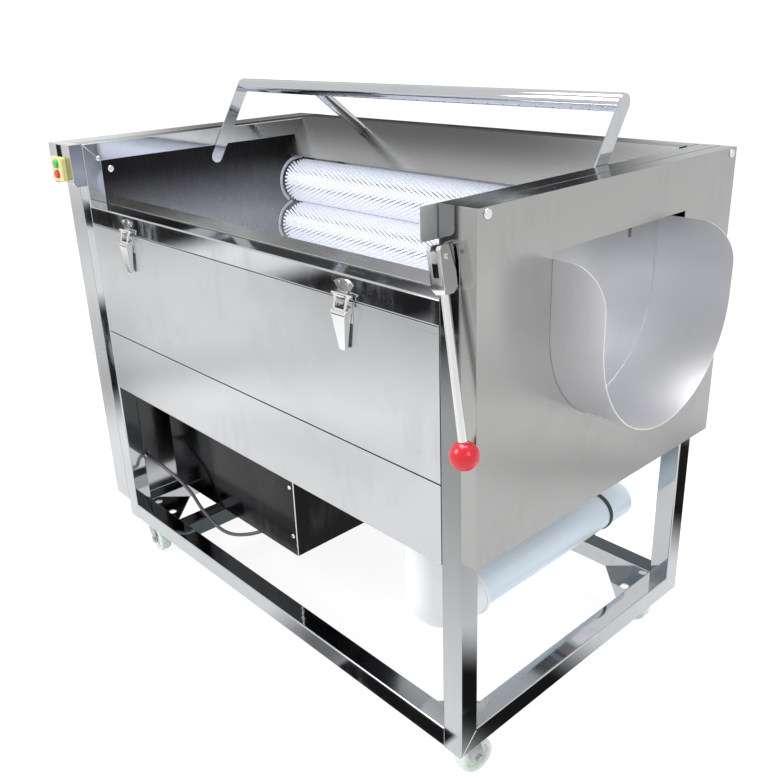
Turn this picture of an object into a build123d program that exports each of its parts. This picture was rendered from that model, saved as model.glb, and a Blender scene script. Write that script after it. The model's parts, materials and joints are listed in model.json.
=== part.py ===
"""Brush-roller peeling and washing machine for root vegetables.

A tub lined with seven turning brush rollers stands in a welded frame of square
stainless tube on four swivel casters. A spray bar wets the tub from above, a
hand lever at the right end swings up the gate of the discharge chute, and a
geared motor under the tub turns the rollers through roller chains at the left end.

Frame of the part: millimetres, +X along the rollers towards the discharge end,
-Y the front with the two toggle latches, +Z up. The origin lies on the floor
under the middle of the overall box.
"""

import os
from math import asin, cos, degrees, pi, radians, sin, tan

from build123d import *

# Welded frame
tube = 38.0
tube_wall = 1.5
tube_corner = 2.5
frame_length = 1076.0
front_rail_drop = 126.0
motor_rail_place = 168.0
gusset_leg = 102.0
gusset_sheet = 3.0
gusset_hole_radius = 9.0
gusset_hole_share = 0.33

# Sheet metal, gaps and fits
sheet = 1.5
plate = 3.0
seat_gap = 0.3
panel_gap = 2.0
running_fit = 0.05
overrun = 1.0
middle_share = 0.5

# Casters
caster_height = 85.0
wheel_diameter = 63.0
wheel_width = 26.0
wheel_crown = 5.0
caster_trail = 28.0
caster_inset = 38.0
caster_plate_size = 58.0
caster_plate_thickness = 3.0
caster_race_radius = 21.0
caster_race_depth = 7.0
kingpin_radius = 5.0
fork_wall = 2.5
fork_side_gap = 2.0
fork_width_at_axle = 22.0
fork_root_share = 0.75
wheel_hub_share = 0.33
axle_radius = 4.0
axle_head_radius = 6.5
axle_head = 3.5

# Casings at the two ends
left_casing_depth = 59.0
right_casing_depth = 28.0
right_casing_lift = 22.0
body_bottom = 342.0
lower_panel_height = 133.0
panel_return = 14.0

# Discharge chute and its cut-out
chute_inset = 57.5
chute_offset = 1.5
chute_arc_drop = 29.0
chute_wall_drop = 30.0
cutout_gap = 10.0
chute_reach = 87.0
chute_corner = 60.0

# Discharge gate, its shaft and its lever
gate_shaft_radius = 8.0
gate_shaft_drop = 62.0
gate_sheet = 2.0
gate_side_gap = 1.5
gate_top_drop = 24.0
gate_strap_width = 30.0
gate_strap_spacing = 206.0
gate_strap_sheet = 3.0
gate_collar_radius = 12.0
shaft_end_gap = 3.0
fork_block = 24.0
fork_block_length = 62.0
fork_block_above = 14.0
fork_slot = 10.0
fork_slot_depth = 40.0
fork_stand_off = 15.0
fork_taper = 8.0
fork_pin_radius = 4.0
fork_pin_head = 3.0
lever_rod_radius = 6.0
lever_lean_angle = 10.4
lever_out_angle = 2.0
lever_length = 262.0
ball_radius = 20.5
ball_neck = 5.0

# Brush rollers
roller_count = 7
roller_gap = 2.057
roller_step_angle = 26.5
first_roller_angle = 5.0
tub_side = 41.0
tub_depth_below = 88.0
rail_above_arc = 40.0
roller_core_radius = 30.0
roller_shaft_radius = 10.0
roller_end_gap = 4.0
brush_radius = 51.0
brush_edge = 6.0
strand_width = 4.0
strand_rows = 4
strands_in_row = 12
strand_twist = 300.0

# Bearings and chain drive
bearing_flange = 46.0
bearing_flange_thickness = 4.0
bearing_nose_radius = 17.0
bearing_nose = 9.0
bearing_bolt_radius = 2.5
sprocket_teeth = 13
sprocket_root_radius = 18.0
sprocket_tip_radius = 22.0
sprocket_thickness = 5.0
chain_clearance = 0.4
chain_height = 8.0
chain_width = 7.0
chain_plane_spacing = 14.0
first_chain_plane = 16.0

# Motor and its box
box_front = 109.0
box_depth = 300.0
box_bottom = 68.5
box_inset = 46.0
box_length = 479.0
box_foot = 30.0
box_foot_from_front = 95.0
box_foot_spacing = 150.0
box_screw_edge = 11.0
box_screw_low = 44.0
box_screw_high = 156.5
motor_gap = 6.0
motor_middle = 232.0
motor_height = 205.0
motor_radius = 68.0
motor_length = 215.0
motor_fin = 6.0
motor_fins = 10
fin_share = 0.5
fan_cover_length = 42.0
reducer_length = 118.0
reducer_size = 148.0
reducer_foot = 12.0
output_shaft_radius = 12.0
motor_boss_radius = 30.0
motor_boss = 12.0

# Baffles, collecting pan and drain
front_flange_width = 88.0
front_baffle_lean = 16.0
front_baffle_drop = 80.0
rear_flange_width = 65.0
rear_baffle_lean = 66.0
rear_baffle_drop = 81.0
pan_depth = 63.0
pan_slope = 40.0
pan_lip = 12.0
drain_diameter = 75.0
drain_wall = 3.0
drain_inset = 150.0
drain_from_front = 82.0
drain_height = 147.0
drain_bend = 62.0
drain_socket_wall = 4.0
drain_socket = 46.0
socket_bead = 5.0
drain_flange = 6.0
drain_flange_width = 10.0
strap_width = 9.0
strap_thickness = 2.0
strap_place = 40.0

# Spray bar
spray_radius = 14.0
spray_wall = 1.5
spray_behind_middle = 85.0
spray_above_frame = 86.0
spray_hole_radius = 1.5
spray_hole_pitch = 34.0
spray_hole_tilt = 35.0
spray_leg_width = 27.0
spray_leg_sheet = 3.0
spray_leg_reach = 89.0
spray_leg_drop = 62.0
feed_radius = 11.0
feed_wall = 1.5
feed_inset = 774.0
feed_drift = 43.0
feed_knee_from_rear = 61.0
feed_knee_drop = 25.0
inlet_drop = 62.0
inlet_reach = 25.0
inlet_stub = 24.0
feed_bend = 17.0

# Switch guard, switch and the cheek at the other end
guard_reach = 27.0
guard_drop = 84.0
guard_slot_left = 36.0
guard_slot = 24.0
guard_corner = 10.0
switch_left = 22.0
switch_width = 50.0
switch_height = 48.0
switch_drop = 25.0
switch_depth = 10.0
switch_corner = 5.0
button_radius = 8.0
button_length = 9.0
button_out = 5.0
button_travel = 3.0
button_spacing = 21.0
button_fit = 0.3
cheek_reach = 31.0
cheek_drop = 46.0
cheek_corner = 6.0
cheek_back = 38.0

# Toggle latches
left_latch_place = 191.0
right_latch_place = 848.0
latch_sheet = 1.5
latch_pin_radius = 2.0
latch_side_gap = 0.3
keeper_width = 42.0
keeper_neck = 18.0
keeper_drop = 7.0
keeper_crown = 6.0
keeper_fan = 13.0
keeper_neck_length = 3.0
hook_bend_radius = 3.6
rivet_radius = 2.5
rivet_head = 1.0
rivet_spacing = 20.0
bail_bar_radius = 2.0
bail_bar_gap = 1.2
bail_bar_length = 44.0
bail_width = 30.0
bail_flare = 9.0
bail_window = 20.0
bail_web = 6.5
latch_lever_width = 31.0
latch_lever_tip = 14.0
latch_lever_length = 57.0
latch_lever_lean = 5.5
latch_eye_radius = 3.0
latch_pivot_drop = 22.5
latch_pivot_out = 5.5
latch_link_out = 7.0
latch_link_drop = 4.0
latch_base_drop = 20.5
latch_base_slot = 2.6

# Screws and cable
screw_radius = 7.0
screw_head = 3.0
screw_inset = 18.0
small_screw_radius = 5.0
small_screw_inset = 32.0
dome_share = 0.8
cable_radius = 4.0
gland_radius = 7.5
gland_length = 8.5
cable_arc_share = 0.45

# Route of the motor cable, from the left front corner of the frame's base
cable_route = (
    (10.0, 57.5, 141.5),
    (46.0, 62.0, 133.0),
    (91.0, 67.0, 120.5),
    (129.0, 72.0, 110.0),
    (165.0, 80.0, 85.0),
    (187.0, 84.0, 57.0),
    (211.0, 87.0, 42.0),
    (236.0, 91.0, 26.0),
    (268.0, 94.0, 21.0),
    (304.0, 97.0, 28.0),
    (339.0, 101.0, 42.0),
    (366.0, 110.0, 53.0),
    (382.0, 124.0, 61.0),
)

# Heights above the frame's base and depths behind its front, from the rollers outwards
roller_arc_radius = (brush_radius + roller_gap / 2) / sin(radians(roller_step_angle / 2))
roller_arc_height = body_bottom + tub_depth_below + brush_radius + roller_arc_radius
front_rail_top = roller_arc_height + rail_above_arc
frame_height = front_rail_top + front_rail_drop
frame_depth = 2 * (roller_arc_radius + brush_radius + tub_side)
roller_arc_middle = frame_depth / 2
seam_height = body_bottom + lower_panel_height
right_casing_bottom = body_bottom + right_casing_lift
pan_rim = body_bottom + pan_depth
front_baffle_toe = front_flange_width + front_baffle_lean
front_baffle_bottom = front_rail_top - front_baffle_drop
rear_baffle_toe = frame_depth - rear_flange_width - rear_baffle_lean
rear_baffle_bottom = frame_height - rear_baffle_drop
gate_shaft_height = frame_height - gate_shaft_drop
gate_top = gate_shaft_height - gate_top_drop
chute_width = 2 * (roller_arc_radius - chute_inset)
chute_middle = roller_arc_middle + chute_offset
chute_arc_height = roller_arc_height - chute_arc_drop
chute_wall_top = gate_shaft_height - chute_wall_drop
cutout_top = chute_wall_top + cutout_gap
spray_from_front = roller_arc_middle + spray_behind_middle
spray_height = frame_height + spray_above_frame
spray_leg_foot = spray_from_front - spray_leg_reach
spray_leg_bottom = frame_height - spray_leg_drop
feed_knee = frame_depth - feed_knee_from_rear
feed_knee_height = frame_height - feed_knee_drop
inlet_height = frame_height - inlet_drop
keeper_top = front_rail_top - keeper_drop
keeper_corner = keeper_top - keeper_crown
keeper_neck_top = keeper_corner - keeper_fan
hook_height = keeper_neck_top - keeper_neck_length
latch_pivot_height = hook_height - latch_pivot_drop
latch_base_bottom = latch_pivot_height - latch_base_drop

# Places in the part's frame
lever_drop = lever_length * cos(radians(lever_lean_angle))
ball_out = fork_stand_off + lever_drop * sin(radians(lever_out_angle)) + ball_radius
overall_length = left_casing_depth + frame_length + right_casing_depth + chute_reach
overall_depth = ball_out + frame_depth + inlet_reach
x_left = -overall_length / 2 + left_casing_depth
x_right = x_left + frame_length
y_front = -overall_depth / 2 + ball_out
y_rear = y_front + frame_depth
z_base = caster_height
z_top = z_base + frame_height
x_left_inner = x_left + tube
x_right_inner = x_right - tube
inner_length = x_right_inner - x_left_inner
gate_plane = x_right - tube / 2
roller_y = y_front + roller_arc_middle
roller_z = z_base + roller_arc_height


def block(x0, x1, y0, y1, z0, z1):
    """Box between two corners."""
    return Pos((x0 + x1) / 2, (y0 + y1) / 2, (z0 + z1) / 2) * Box(x1 - x0, y1 - y0, z1 - z0)


def rod(start, end, radius):
    """Round bar from one point to another."""
    direction = Vector(*end) - Vector(*start)
    return extrude(Plane(origin=start, z_dir=direction) * Circle(radius), direction.length)


def prism_x(points, x0, x1):
    """Outline in the YZ plane, extruded along X."""
    return extrude(Plane.YZ.offset(x0) * make_face(Polyline(*points, close=True)), x1 - x0)


def tube_bar(length):
    """Square tube standing on the origin, along +Z."""
    outer = extrude(RectangleRounded(tube, tube, tube_corner), length)
    bore = tube - 2 * tube_wall
    return outer - extrude(Rectangle(bore, bore), length)


def tube_along_x(x0, x1, y_low, z_low):
    """Square tube along X, given its lowest corner."""
    place = Pos(x0, y_low + tube / 2, z_low + tube / 2)
    return place * Rot(0, 90, 0) * tube_bar(x1 - x0)


def tube_along_y(y0, y1, x_low, z_low):
    """Square tube along Y, given its lowest corner."""
    place = Pos(x_low + tube / 2, y0, z_low + tube / 2)
    return place * Rot(-90, 0, 0) * tube_bar(y1 - y0)


def end_frame(x_low):
    """Two posts and two end rails, mitred at their corners and welded into a ring."""
    y0, y1, z0, z1 = y_front, y_rear, z_base, z_top
    x0 = x_low - overrun
    x1 = x_low + tube + overrun
    front_post = Pos(x_low + tube / 2, y0 + tube / 2, z0) * tube_bar(frame_height)
    rear_post = Pos(x_low + tube / 2, y1 - tube / 2, z0) * tube_bar(frame_height)
    low_rail = tube_along_y(y0, y1, x_low, z0)
    high_rail = tube_along_y(y0, y1, x_low, z1 - tube)
    for y_corner, y_in in ((y0, y0 + tube), (y1, y1 - tube)):
        y_out = y_corner - (y_in - y_corner)
        for z_corner, z_in in ((z0, z0 + tube), (z1, z1 - tube)):
            z_out = z_corner - (z_in - z_corner)
            over_post = prism_x([(y_out, z_out), (y_in, z_in), (y_in, z_out)], x0, x1)
            over_rail = prism_x([(y_out, z_out), (y_in, z_in), (y_out, z_in)], x0, x1)
            if y_corner == y0:
                front_post = front_post - over_post
            else:
                rear_post = rear_post - over_post
            if z_corner == z0:
                low_rail = low_rail - over_rail
            else:
                high_rail = high_rail - over_rail
    return front_post, rear_post, low_rail, high_rail


def gate_shaft_bore(radius):
    """Bar on the gate shaft's axis, long enough to drill both right posts."""
    z = z_base + gate_shaft_height
    return rod((gate_plane, y_front - overrun, z), (gate_plane, y_rear - tube_wall - overrun, z), radius)


def corner_gusset(x_inner, y_inner, x_way, y_way):
    """Three-cornered plate in a corner of the base, with its round hole."""
    outline = Polyline(
        (x_inner, y_inner), (x_inner + x_way * gusset_leg, y_inner), (x_inner, y_inner + y_way * gusset_leg), close=True,
    )
    place = gusset_leg * gusset_hole_share
    gusset = extrude(Plane.XY.offset(z_base) * make_face(outline), gusset_sheet)
    x = x_inner + x_way * place
    y = y_inner + y_way * place
    return gusset - rod((x, y, z_base - overrun), (x, y, z_base + gusset_sheet + overrun), gusset_hole_radius)


def make_frame():
    """Posts, rails and corner gussets of the welded frame."""
    left = end_frame(x_left)
    right = end_frame(x_right - tube)
    drill = gate_shaft_bore(gate_shaft_radius + running_fit)
    right_front = right[0] - drill
    right_rear = right[1] - drill
    rails_x = (x_left_inner, x_right_inner)
    base_front = tube_along_x(*rails_x, y_front, z_base)
    base_rear = tube_along_x(*rails_x, y_rear - tube, z_base)
    motor_rail = tube_along_y(y_front + tube, y_rear - tube, x_left + motor_rail_place, z_base)
    gussets = [
        corner_gusset(x, y, x_way, y_way)
        for x, x_way in ((x_left_inner, 1), (x_right_inner, -1))
        for y, y_way in ((y_front + tube, 1), (y_rear - tube, -1))
    ]
    return {
        "front_left_post": left[0],
        "front_right_post": right_front,
        "rear_posts": [left[1], right_rear],
        "base_end_rails": [left[2], right[2], *gussets],
        "base_rails": [base_front, base_rear, motor_rail],
        "top_end_rails": [left[3], right[3]],
        "top_long_rails": [
            tube_along_x(*rails_x, y_front, z_base + front_rail_top - tube),
            tube_along_x(*rails_x, y_rear - tube, z_top - tube),
        ],
    }


def tray(x0, x1, z0, z1, y_face, inward):
    """Panel with four returned edges; inward is +1 or -1 along Y."""
    y_back = y_face + inward * panel_return
    low, high = sorted((y_face, y_back))
    solid = block(x0, x1, low, high, z0, z1)
    hollow_low, hollow_high = sorted((y_face + inward * sheet, y_back + inward * overrun))
    return solid - block(x0 + sheet, x1 - sheet, hollow_low, hollow_high, z0 + sheet, z1 - sheet)


def make_panels():
    """Front panels with the seam between them, and the rear panel."""
    x0 = x_left_inner + seat_gap
    x1 = x_right_inner - seat_gap
    seam = z_base + seam_height
    rail_bottom = z_base + front_rail_top - tube
    upper = tray(x0, x1, seam + panel_gap / 2, rail_bottom - seat_gap, y_front, 1)
    lower = tray(x0, x1, z_base + body_bottom, seam - panel_gap / 2, y_front, 1)
    rear = tray(x0, x1, z_base + body_bottom, z_top - tube, y_rear, -1)
    rear = rear - rod(inlet_point(), inlet_end(), feed_radius + seat_gap)
    return {"front_upper_panel": upper, "front_lower_panel": lower, "rear_panel": rear}


def make_left_casing():
    """Cover of the chain drive, as deep as the drive and open towards the frame."""
    x0 = x_left - left_casing_depth
    z0 = z_base + tube
    shell = block(x0, x_left, y_front, y_rear, z0, z_top)
    inside = block(x0 + sheet, x_left + overrun, y_front + sheet, y_rear - sheet, z0 + sheet, z_top - sheet)
    return shell - inside


def gland(end, before):
    """Cable gland whose outer face meets the cable's end square on."""
    out = (Vector(*before) - Vector(*end)).normalized()
    return rod(Vector(*end) - out * gland_length, end, gland_radius)


def cable_points():
    """Corners of the motor cable's route, in the part's frame."""
    return [(x_left + x, y_front + y, z_base + z) for x, y, z in cable_route]


def motor_axis():
    """Axis of the geared motor's output shaft as (y, z)."""
    return (y_front + motor_middle, z_base + motor_height)


def make_drive_plate():
    """Inner sheet of the chain drive, between the left posts, with the cable's gland."""
    x1 = x_left + sheet
    drive_plate = block(x_left, x1, y_front + tube, y_rear - tube, z_base + tube, z_top - tube)
    for y, z in roller_places() + [motor_axis()]:
        drive_plate = drive_plate - rod((x_left - overrun, y, z), (x1 + overrun, y, z), output_shaft_radius + panel_gap)
    points = cable_points()
    return drive_plate + (gland(points[0], points[1]) - block(x_left - tube, x_left, y_front, y_rear, z_base, z_top))


def u_face(radius, top):
    """Upright U in the YZ plane of the right end: a half circle under straight sides."""
    y = y_front + chute_middle
    z = z_base + chute_arc_height
    z_high = z_base + top
    straight_left = Line((y - radius, z_high), (y - radius, z))
    arc = ThreePointArc((y - radius, z), (y, z - radius), (y + radius, z))
    straight_right = Line((y + radius, z), (y + radius, z_high))
    lid = Line((y + radius, z_high), (y - radius, z_high))
    return make_face([straight_left, arc, straight_right, lid])


def u_block(radius, top, x0, x1):
    """The upright U, extruded along X."""
    return extrude(Plane.YZ.offset(x0) * u_face(radius, top), x1 - x0)


def make_right_casing():
    """Cover of the discharge end, standing proud of the posts, with the chute's cut-out."""
    x1 = x_right + right_casing_depth
    z0 = z_base + right_casing_bottom
    shell = block(x_right, x1, y_front, y_rear, z0, z_top)
    inside = block(x_right - overrun, x1 - sheet, y_front + sheet, y_rear - sheet, z0 + sheet, z_top - sheet)
    cut = u_block(chute_width / 2 + seat_gap, cutout_top, x1 - sheet - overrun, x1 + overrun)
    return shell - inside - cut


def make_chute():
    """U-shaped discharge chute from the tub's end plate out through the casing."""
    outer_radius = chute_width / 2
    x0 = x_right_inner + plate
    x1 = x_right + right_casing_depth + chute_reach
    chute = u_block(outer_radius, chute_wall_top, x0, x1)
    chute = chute - u_block(outer_radius - sheet, chute_wall_top + overrun, x0 - overrun, x1 + overrun)
    y = y_front + chute_middle
    z = z_base + chute_wall_top
    corner_x = x1 - chute_corner
    corner_z = z - chute_corner
    keep = Plane.XZ.offset(-(y + chute_width)) * (Pos(corner_x, corner_z) * Circle(chute_corner))
    corner = block(corner_x, x1 + overrun, y - chute_width, y + chute_width, corner_z, z + overrun)
    corner = corner - extrude(keep, 2 * chute_width)
    return chute - corner


def roller_angles():
    """Places of the rollers on their arc, in degrees below the rear horizontal."""
    return [first_roller_angle - roller_step_angle * index for index in range(roller_count)]


def roller_places():
    """Axis of each roller as (y, z), from the rear top round to the front."""
    places = []
    for angle in roller_angles():
        y = roller_y + roller_arc_radius * cos(radians(angle))
        z = roller_z + roller_arc_radius * sin(radians(angle))
        places.append((y, z))
    return places


def make_bearing_plates():
    """End plates of the tub, drilled for the roller shafts; the right one has the outlet."""
    y0 = y_front + tube
    y1 = y_rear - tube
    z0 = z_base + body_bottom
    z1 = z_top - tube
    left = block(x_left_inner - plate, x_left_inner, y0, y1, z0, z1)
    right = block(x_right_inner, x_right_inner + plate, y0, y1, z0, z1)
    for y, z in roller_places():
        drill = rod((x_left, y, z), (x_right, y, z), roller_shaft_radius + seat_gap)
        left = left - drill
        right = right - drill
    outlet = u_block(chute_width / 2 - sheet, chute_wall_top, x_right_inner - overrun, x_right_inner + plate + overrun)
    return {"left_bearing_plate": left, "right_bearing_plate": right - outlet}


def sheet_strip(points, x0, x1, thickness):
    """Folded sheet that follows points in the YZ plane, extruded along X."""
    path = Polyline(*points)
    face = make_face(band_outline(path, thickness))
    return extrude(Plane.YZ.offset(x0) * face, x1 - x0)


def band_outline(path, thickness):
    """Closed outline of a band to the left of an open path."""
    return offset(path, amount=thickness, kind=Kind.INTERSECTION, side=Side.LEFT, closed=True)


def make_baffles():
    """Flanged sheets that close the gap between the top rails and the rollers."""
    x0 = x_left_inner + seat_gap
    x1 = x_right_inner - seat_gap
    z_rail = z_base + front_rail_top
    front_points = [
        (y_front + tube + seat_gap, z_rail),
        (y_front + front_flange_width, z_rail),
        (y_front + front_baffle_toe, z_base + front_baffle_bottom),
    ]
    rear_points = [
        (y_front + rear_baffle_toe, z_base + rear_baffle_bottom),
        (y_rear - rear_flange_width, z_top),
        (y_rear - tube - seat_gap, z_top),
    ]
    front = sheet_strip(front_points, x0, x1, -sheet)
    rear = sheet_strip(rear_points, x0, x1, -sheet)
    passage = rod(feed_points()[0], feed_points()[1], feed_radius + seat_gap)
    return {"front_baffle": front, "rear_baffle": rear - passage}


def make_pan():
    """Collecting pan under the rollers, falling from both sides to the drain."""
    x0 = x_left_inner + seat_gap
    x1 = x_right_inner - seat_gap
    y0 = y_front + panel_return + seat_gap
    y1 = y_rear - panel_return - seat_gap
    low = z_base + body_bottom
    rim = z_base + pan_rim
    outlet_y = y_front + drain_from_front
    points = [(y0, rim), (y0, low), (outlet_y + drain_diameter, low), (y1, rim), (y1, rim + pan_lip)]
    pan = sheet_strip(points, x0, x1, sheet)
    x = x_right - drain_inset
    bore = drain_diameter / 2 - drain_wall
    return pan - rod((x, outlet_y, low - sheet), (x, outlet_y, low + 2 * sheet), bore)


def make_drain():
    """Plastic drain: flanged elbow under the pan, level pipe in its socket, and the strap."""
    x = x_right - drain_inset
    y = y_front + drain_from_front
    z = z_base + drain_height
    top = (x, y, z_base + body_bottom)
    y_socket = y + drain_bend
    y_mouth = y_socket + drain_socket
    radius = drain_diameter / 2
    bore_radius = radius - drain_wall
    socket_radius = radius + drain_socket_wall
    path = FilletPolyline(top, (x, y, z), (x, y_socket + overrun, z), radius=drain_bend)
    start = Plane(origin=top, z_dir=(0, 0, -1))
    elbow = sweep(start * Circle(radius), path)
    flange = rod((x, y, top[2] - drain_flange), top, radius + drain_flange_width)
    socket = rod((x, y_socket, z), (x, y_mouth, z), socket_radius)
    beads = [
        rod((x, y_bead, z), (x, y_bead + socket_bead, z), socket_radius + socket_bead / 2)
        for y_bead in (y_socket, y_mouth - socket_bead)
    ]
    elbow = elbow.fuse(flange, socket, *beads) - sweep(start * Circle(bore_radius), path)
    y_pipe = y_socket + socket_bead
    elbow = elbow - rod((x, y_pipe, z), (x, y_mouth + overrun, z), radius + running_fit)
    pipe = rod((x, y_pipe, z), (x, y_rear, z), radius)
    pipe = pipe - rod((x, y_pipe - overrun, z), (x, y_rear + overrun, z), bore_radius)
    y_strap = y_rear - tube - strap_place
    inner = radius + seat_gap
    ring = rod((x, y_strap, z), (x, y_strap + strap_width, z), inner + strap_thickness)
    ring = ring - rod((x, y_strap - overrun, z), (x, y_strap + strap_width + overrun, z), inner)
    return {"drain_elbow": elbow, "drain_pipe": pipe, "drain_strap": ring}


def inlet_point():
    """Where the feed tube turns level behind the baffle."""
    x = x_right - feed_inset - feed_drift
    return (x, y_front + feed_knee, z_base + inlet_height)


def inlet_end():
    """Mouth of the feed tube behind the rear panel."""
    x, _, z = inlet_point()
    return (x, y_rear + inlet_reach, z)


def feed_points():
    """Corners of the feed tube from the spray pipe to its inlet at the rear."""
    start = (x_right - feed_inset, y_front + spray_from_front, z_base + spray_height)
    knee = (x_right - feed_inset - feed_drift, y_front + feed_knee, z_base + feed_knee_height)
    return [start, knee, inlet_point(), inlet_end()]


def make_spray_bar():
    """Perforated spray pipe welded to its two flat legs and its feed tube."""
    y = y_front + spray_from_front
    z = z_base + spray_height
    x0 = x_left_inner + seat_gap
    x1 = x_right_inner - seat_gap
    pipe = rod((x0 + spray_leg_sheet, y, z), (x1 - spray_leg_sheet, y, z), spray_radius)
    foot = (y_front + spray_leg_foot, z_base + spray_leg_bottom)
    leg_face = make_face(SlotCenterToCenter(Vector(y - foot[0], z - foot[1], 0).length, spray_leg_width).edges())
    lean = degrees(asin((y - foot[0]) / Vector(y - foot[0], z - foot[1], 0).length))
    middle = ((y + foot[0]) / 2, (z + foot[1]) / 2)
    leg = Pos(*middle) * Rot(0, 0, 90 - lean) * leg_face
    legs = [
        extrude(Plane.YZ.offset(x0) * leg, spray_leg_sheet),
        extrude(Plane.YZ.offset(x1 - spray_leg_sheet) * leg, spray_leg_sheet),
    ]
    first = Vector(*feed_points()[1]) - Vector(*feed_points()[0])
    mouth = Plane(origin=feed_points()[0], z_dir=first)
    x_inlet, _, z_inlet = inlet_point()
    neck = (x_inlet, y_rear + inlet_reach - inlet_stub, z_inlet)
    outside = FilletPolyline(*feed_points()[:-1], neck, radius=feed_bend)
    feed = sweep(mouth * Circle(feed_radius), outside) + rod(neck, inlet_end(), feed_radius)
    bore = sweep(mouth * Circle(feed_radius - feed_wall), FilletPolyline(*feed_points(), radius=feed_bend))
    pipe_bore = rod((x0 + spray_leg_sheet, y, z), (x1 - spray_leg_sheet, y, z), spray_radius - spray_wall)
    bar = (pipe + feed + legs[0] + legs[1]) - pipe_bore - bore
    count = int((x1 - x0 - 2 * spray_hole_pitch) // spray_hole_pitch)
    first_hole = (x0 + x1) / 2 - spray_hole_pitch * (count - 1) / 2
    y_out = y - 2 * spray_radius * sin(radians(spray_hole_tilt))
    z_out = z - 2 * spray_radius * cos(radians(spray_hole_tilt))
    holes = []
    for index in range(count):
        x = first_hole + spray_hole_pitch * index
        holes.append(rod((x, y, z), (x, y_out, z_out), spray_hole_radius))
    return bar - holes


def brush_strands(x0, x1):
    """Bristle bundles in helical rows, as slim square bars that start inside the core."""
    root = roller_core_radius - strand_width / 2
    length = brush_radius - root
    strand = Pos(0, 0, root + length / 2) * Box(strand_width, strand_width, length)
    strands = []
    pitch = (x1 - x0) / strands_in_row
    for row in range(strand_rows):
        for index in range(strands_in_row):
            x = x0 + pitch * (index + (row + middle_share) / strand_rows)
            turn = 360 / strand_rows * row + strand_twist * index / strands_in_row
            strands.append(Pos(x, 0, 0) * Rot(turn, 0, 0) * strand)
    return strands


def sprocket(x_middle):
    """Toothed wheel on the X axis."""
    points = []
    step = 360 / sprocket_teeth
    tooth_shares = ((-0.32, 0), (-0.14, 1), (0.14, 1), (0.32, 0))
    for tooth in range(sprocket_teeth):
        for turn_share, height_share in tooth_shares:
            radius = sprocket_root_radius + (sprocket_tip_radius - sprocket_root_radius) * height_share
            angle = radians(step * (tooth + turn_share))
            points.append((radius * cos(angle), radius * sin(angle)))
    return prism_x(points, x_middle - sprocket_thickness / 2, x_middle + sprocket_thickness / 2)


def chain_plane(index):
    """Middle of a chain's plane outside the left posts: 0, 1 or 2."""
    return x_left - first_chain_plane - chain_plane_spacing * index


def planes_of_roller(index):
    """Chain planes that a roller's sprockets lie in."""
    planes = []
    if index < roller_count - 1:
        planes.append(index % 2)
    if index > 0:
        planes.append((index - 1) % 2)
    if index == roller_count - 1:
        planes.append(2)
    return planes


def make_rollers():
    """Brush rollers: core, shaft, sprockets and bristles fused, one node each."""
    x0 = x_left_inner + roller_end_gap
    x1 = x_right_inner - roller_end_gap
    core = rod((x0, 0, 0), (x1, 0, 0), roller_core_radius)
    shaft_right = x_right_inner + plate + bearing_flange_thickness + bearing_nose
    brush = core.fuse(*brush_strands(x0 + brush_edge, x1 - brush_edge))
    rollers = {}
    for index, (y, z) in enumerate(roller_places()):
        planes = planes_of_roller(index)
        shaft_left = chain_plane(max(planes)) - sprocket_thickness
        shaft = rod((shaft_left, 0, 0), (shaft_right, 0, 0), roller_shaft_radius)
        wheels = [sprocket(chain_plane(plane)) for plane in planes]
        roller = brush.fuse(shaft, *wheels)
        rollers[f"brush_roller_{index + 1}"] = Pos(0, y, z) * roller
    return rollers


def make_bearings():
    """Flanged bearing of each roller shaft, outside both end plates."""
    bore = roller_shaft_radius + running_fit
    half = bearing_flange / 2
    total = bearing_flange_thickness + bearing_nose
    flange = block(0, bearing_flange_thickness, -half, half, -half, half)
    nose = rod((0, 0, 0), (total, 0, 0), bearing_nose_radius)
    housing = (flange + nose) - rod((-overrun, 0, 0), (total + overrun, 0, 0), bore)
    housings = []
    for (y, z), angle in zip(roller_places(), roller_angles()):
        housings.append(Pos(x_right_inner + plate, y, z) * Rot(angle, 0, 0) * housing)
        housings.append(Pos(x_left_inner - plate, y, z) * Rot(angle, 0, 0) * Rot(0, 0, 180) * housing)
    return housings


def chain_loop(start, end, x_middle):
    """Chain round two equal sprockets, as a closed band."""
    inner = sprocket_tip_radius + chain_clearance
    outer = inner + chain_height
    run = Vector(end[0] - start[0], end[1] - start[1], 0)
    turn = degrees(asin(run.Y / run.length))
    if run.X < 0:
        turn = 180 - turn
    middle = Pos((start[0] + end[0]) / 2, (start[1] + end[1]) / 2) * Rot(0, 0, turn)
    band = SlotCenterToCenter(run.length, 2 * outer) - SlotCenterToCenter(run.length, 2 * inner)
    return extrude(Plane.YZ.offset(x_middle - chain_width / 2) * (middle * band), chain_width)


def make_drive():
    """Chains, drive sprocket, geared motor and the box that hides them under the tub."""
    places = roller_places()
    chains = [
        chain_loop(places[index], places[index + 1], chain_plane(index % 2))
        for index in range(roller_count - 1)
    ]
    motor = motor_axis()
    chains.append(chain_loop(places[-1], motor, chain_plane(2)))
    reducer_left = x_left + box_inset + sheet + motor_gap
    shaft_right = reducer_left + reducer_length / 2
    y, z = motor
    shaft = rod((chain_plane(2) - sprocket_thickness, y, z), (shaft_right, y, z), output_shaft_radius)
    wheel = Pos(0, y, z) * sprocket(chain_plane(2))
    return {
        "drive_chains": chains,
        "drive_sprocket": shaft + wheel,
        "gear_motor": make_motor(reducer_left, shaft_right),
        "drive_box": make_drive_box(),
    }


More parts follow.
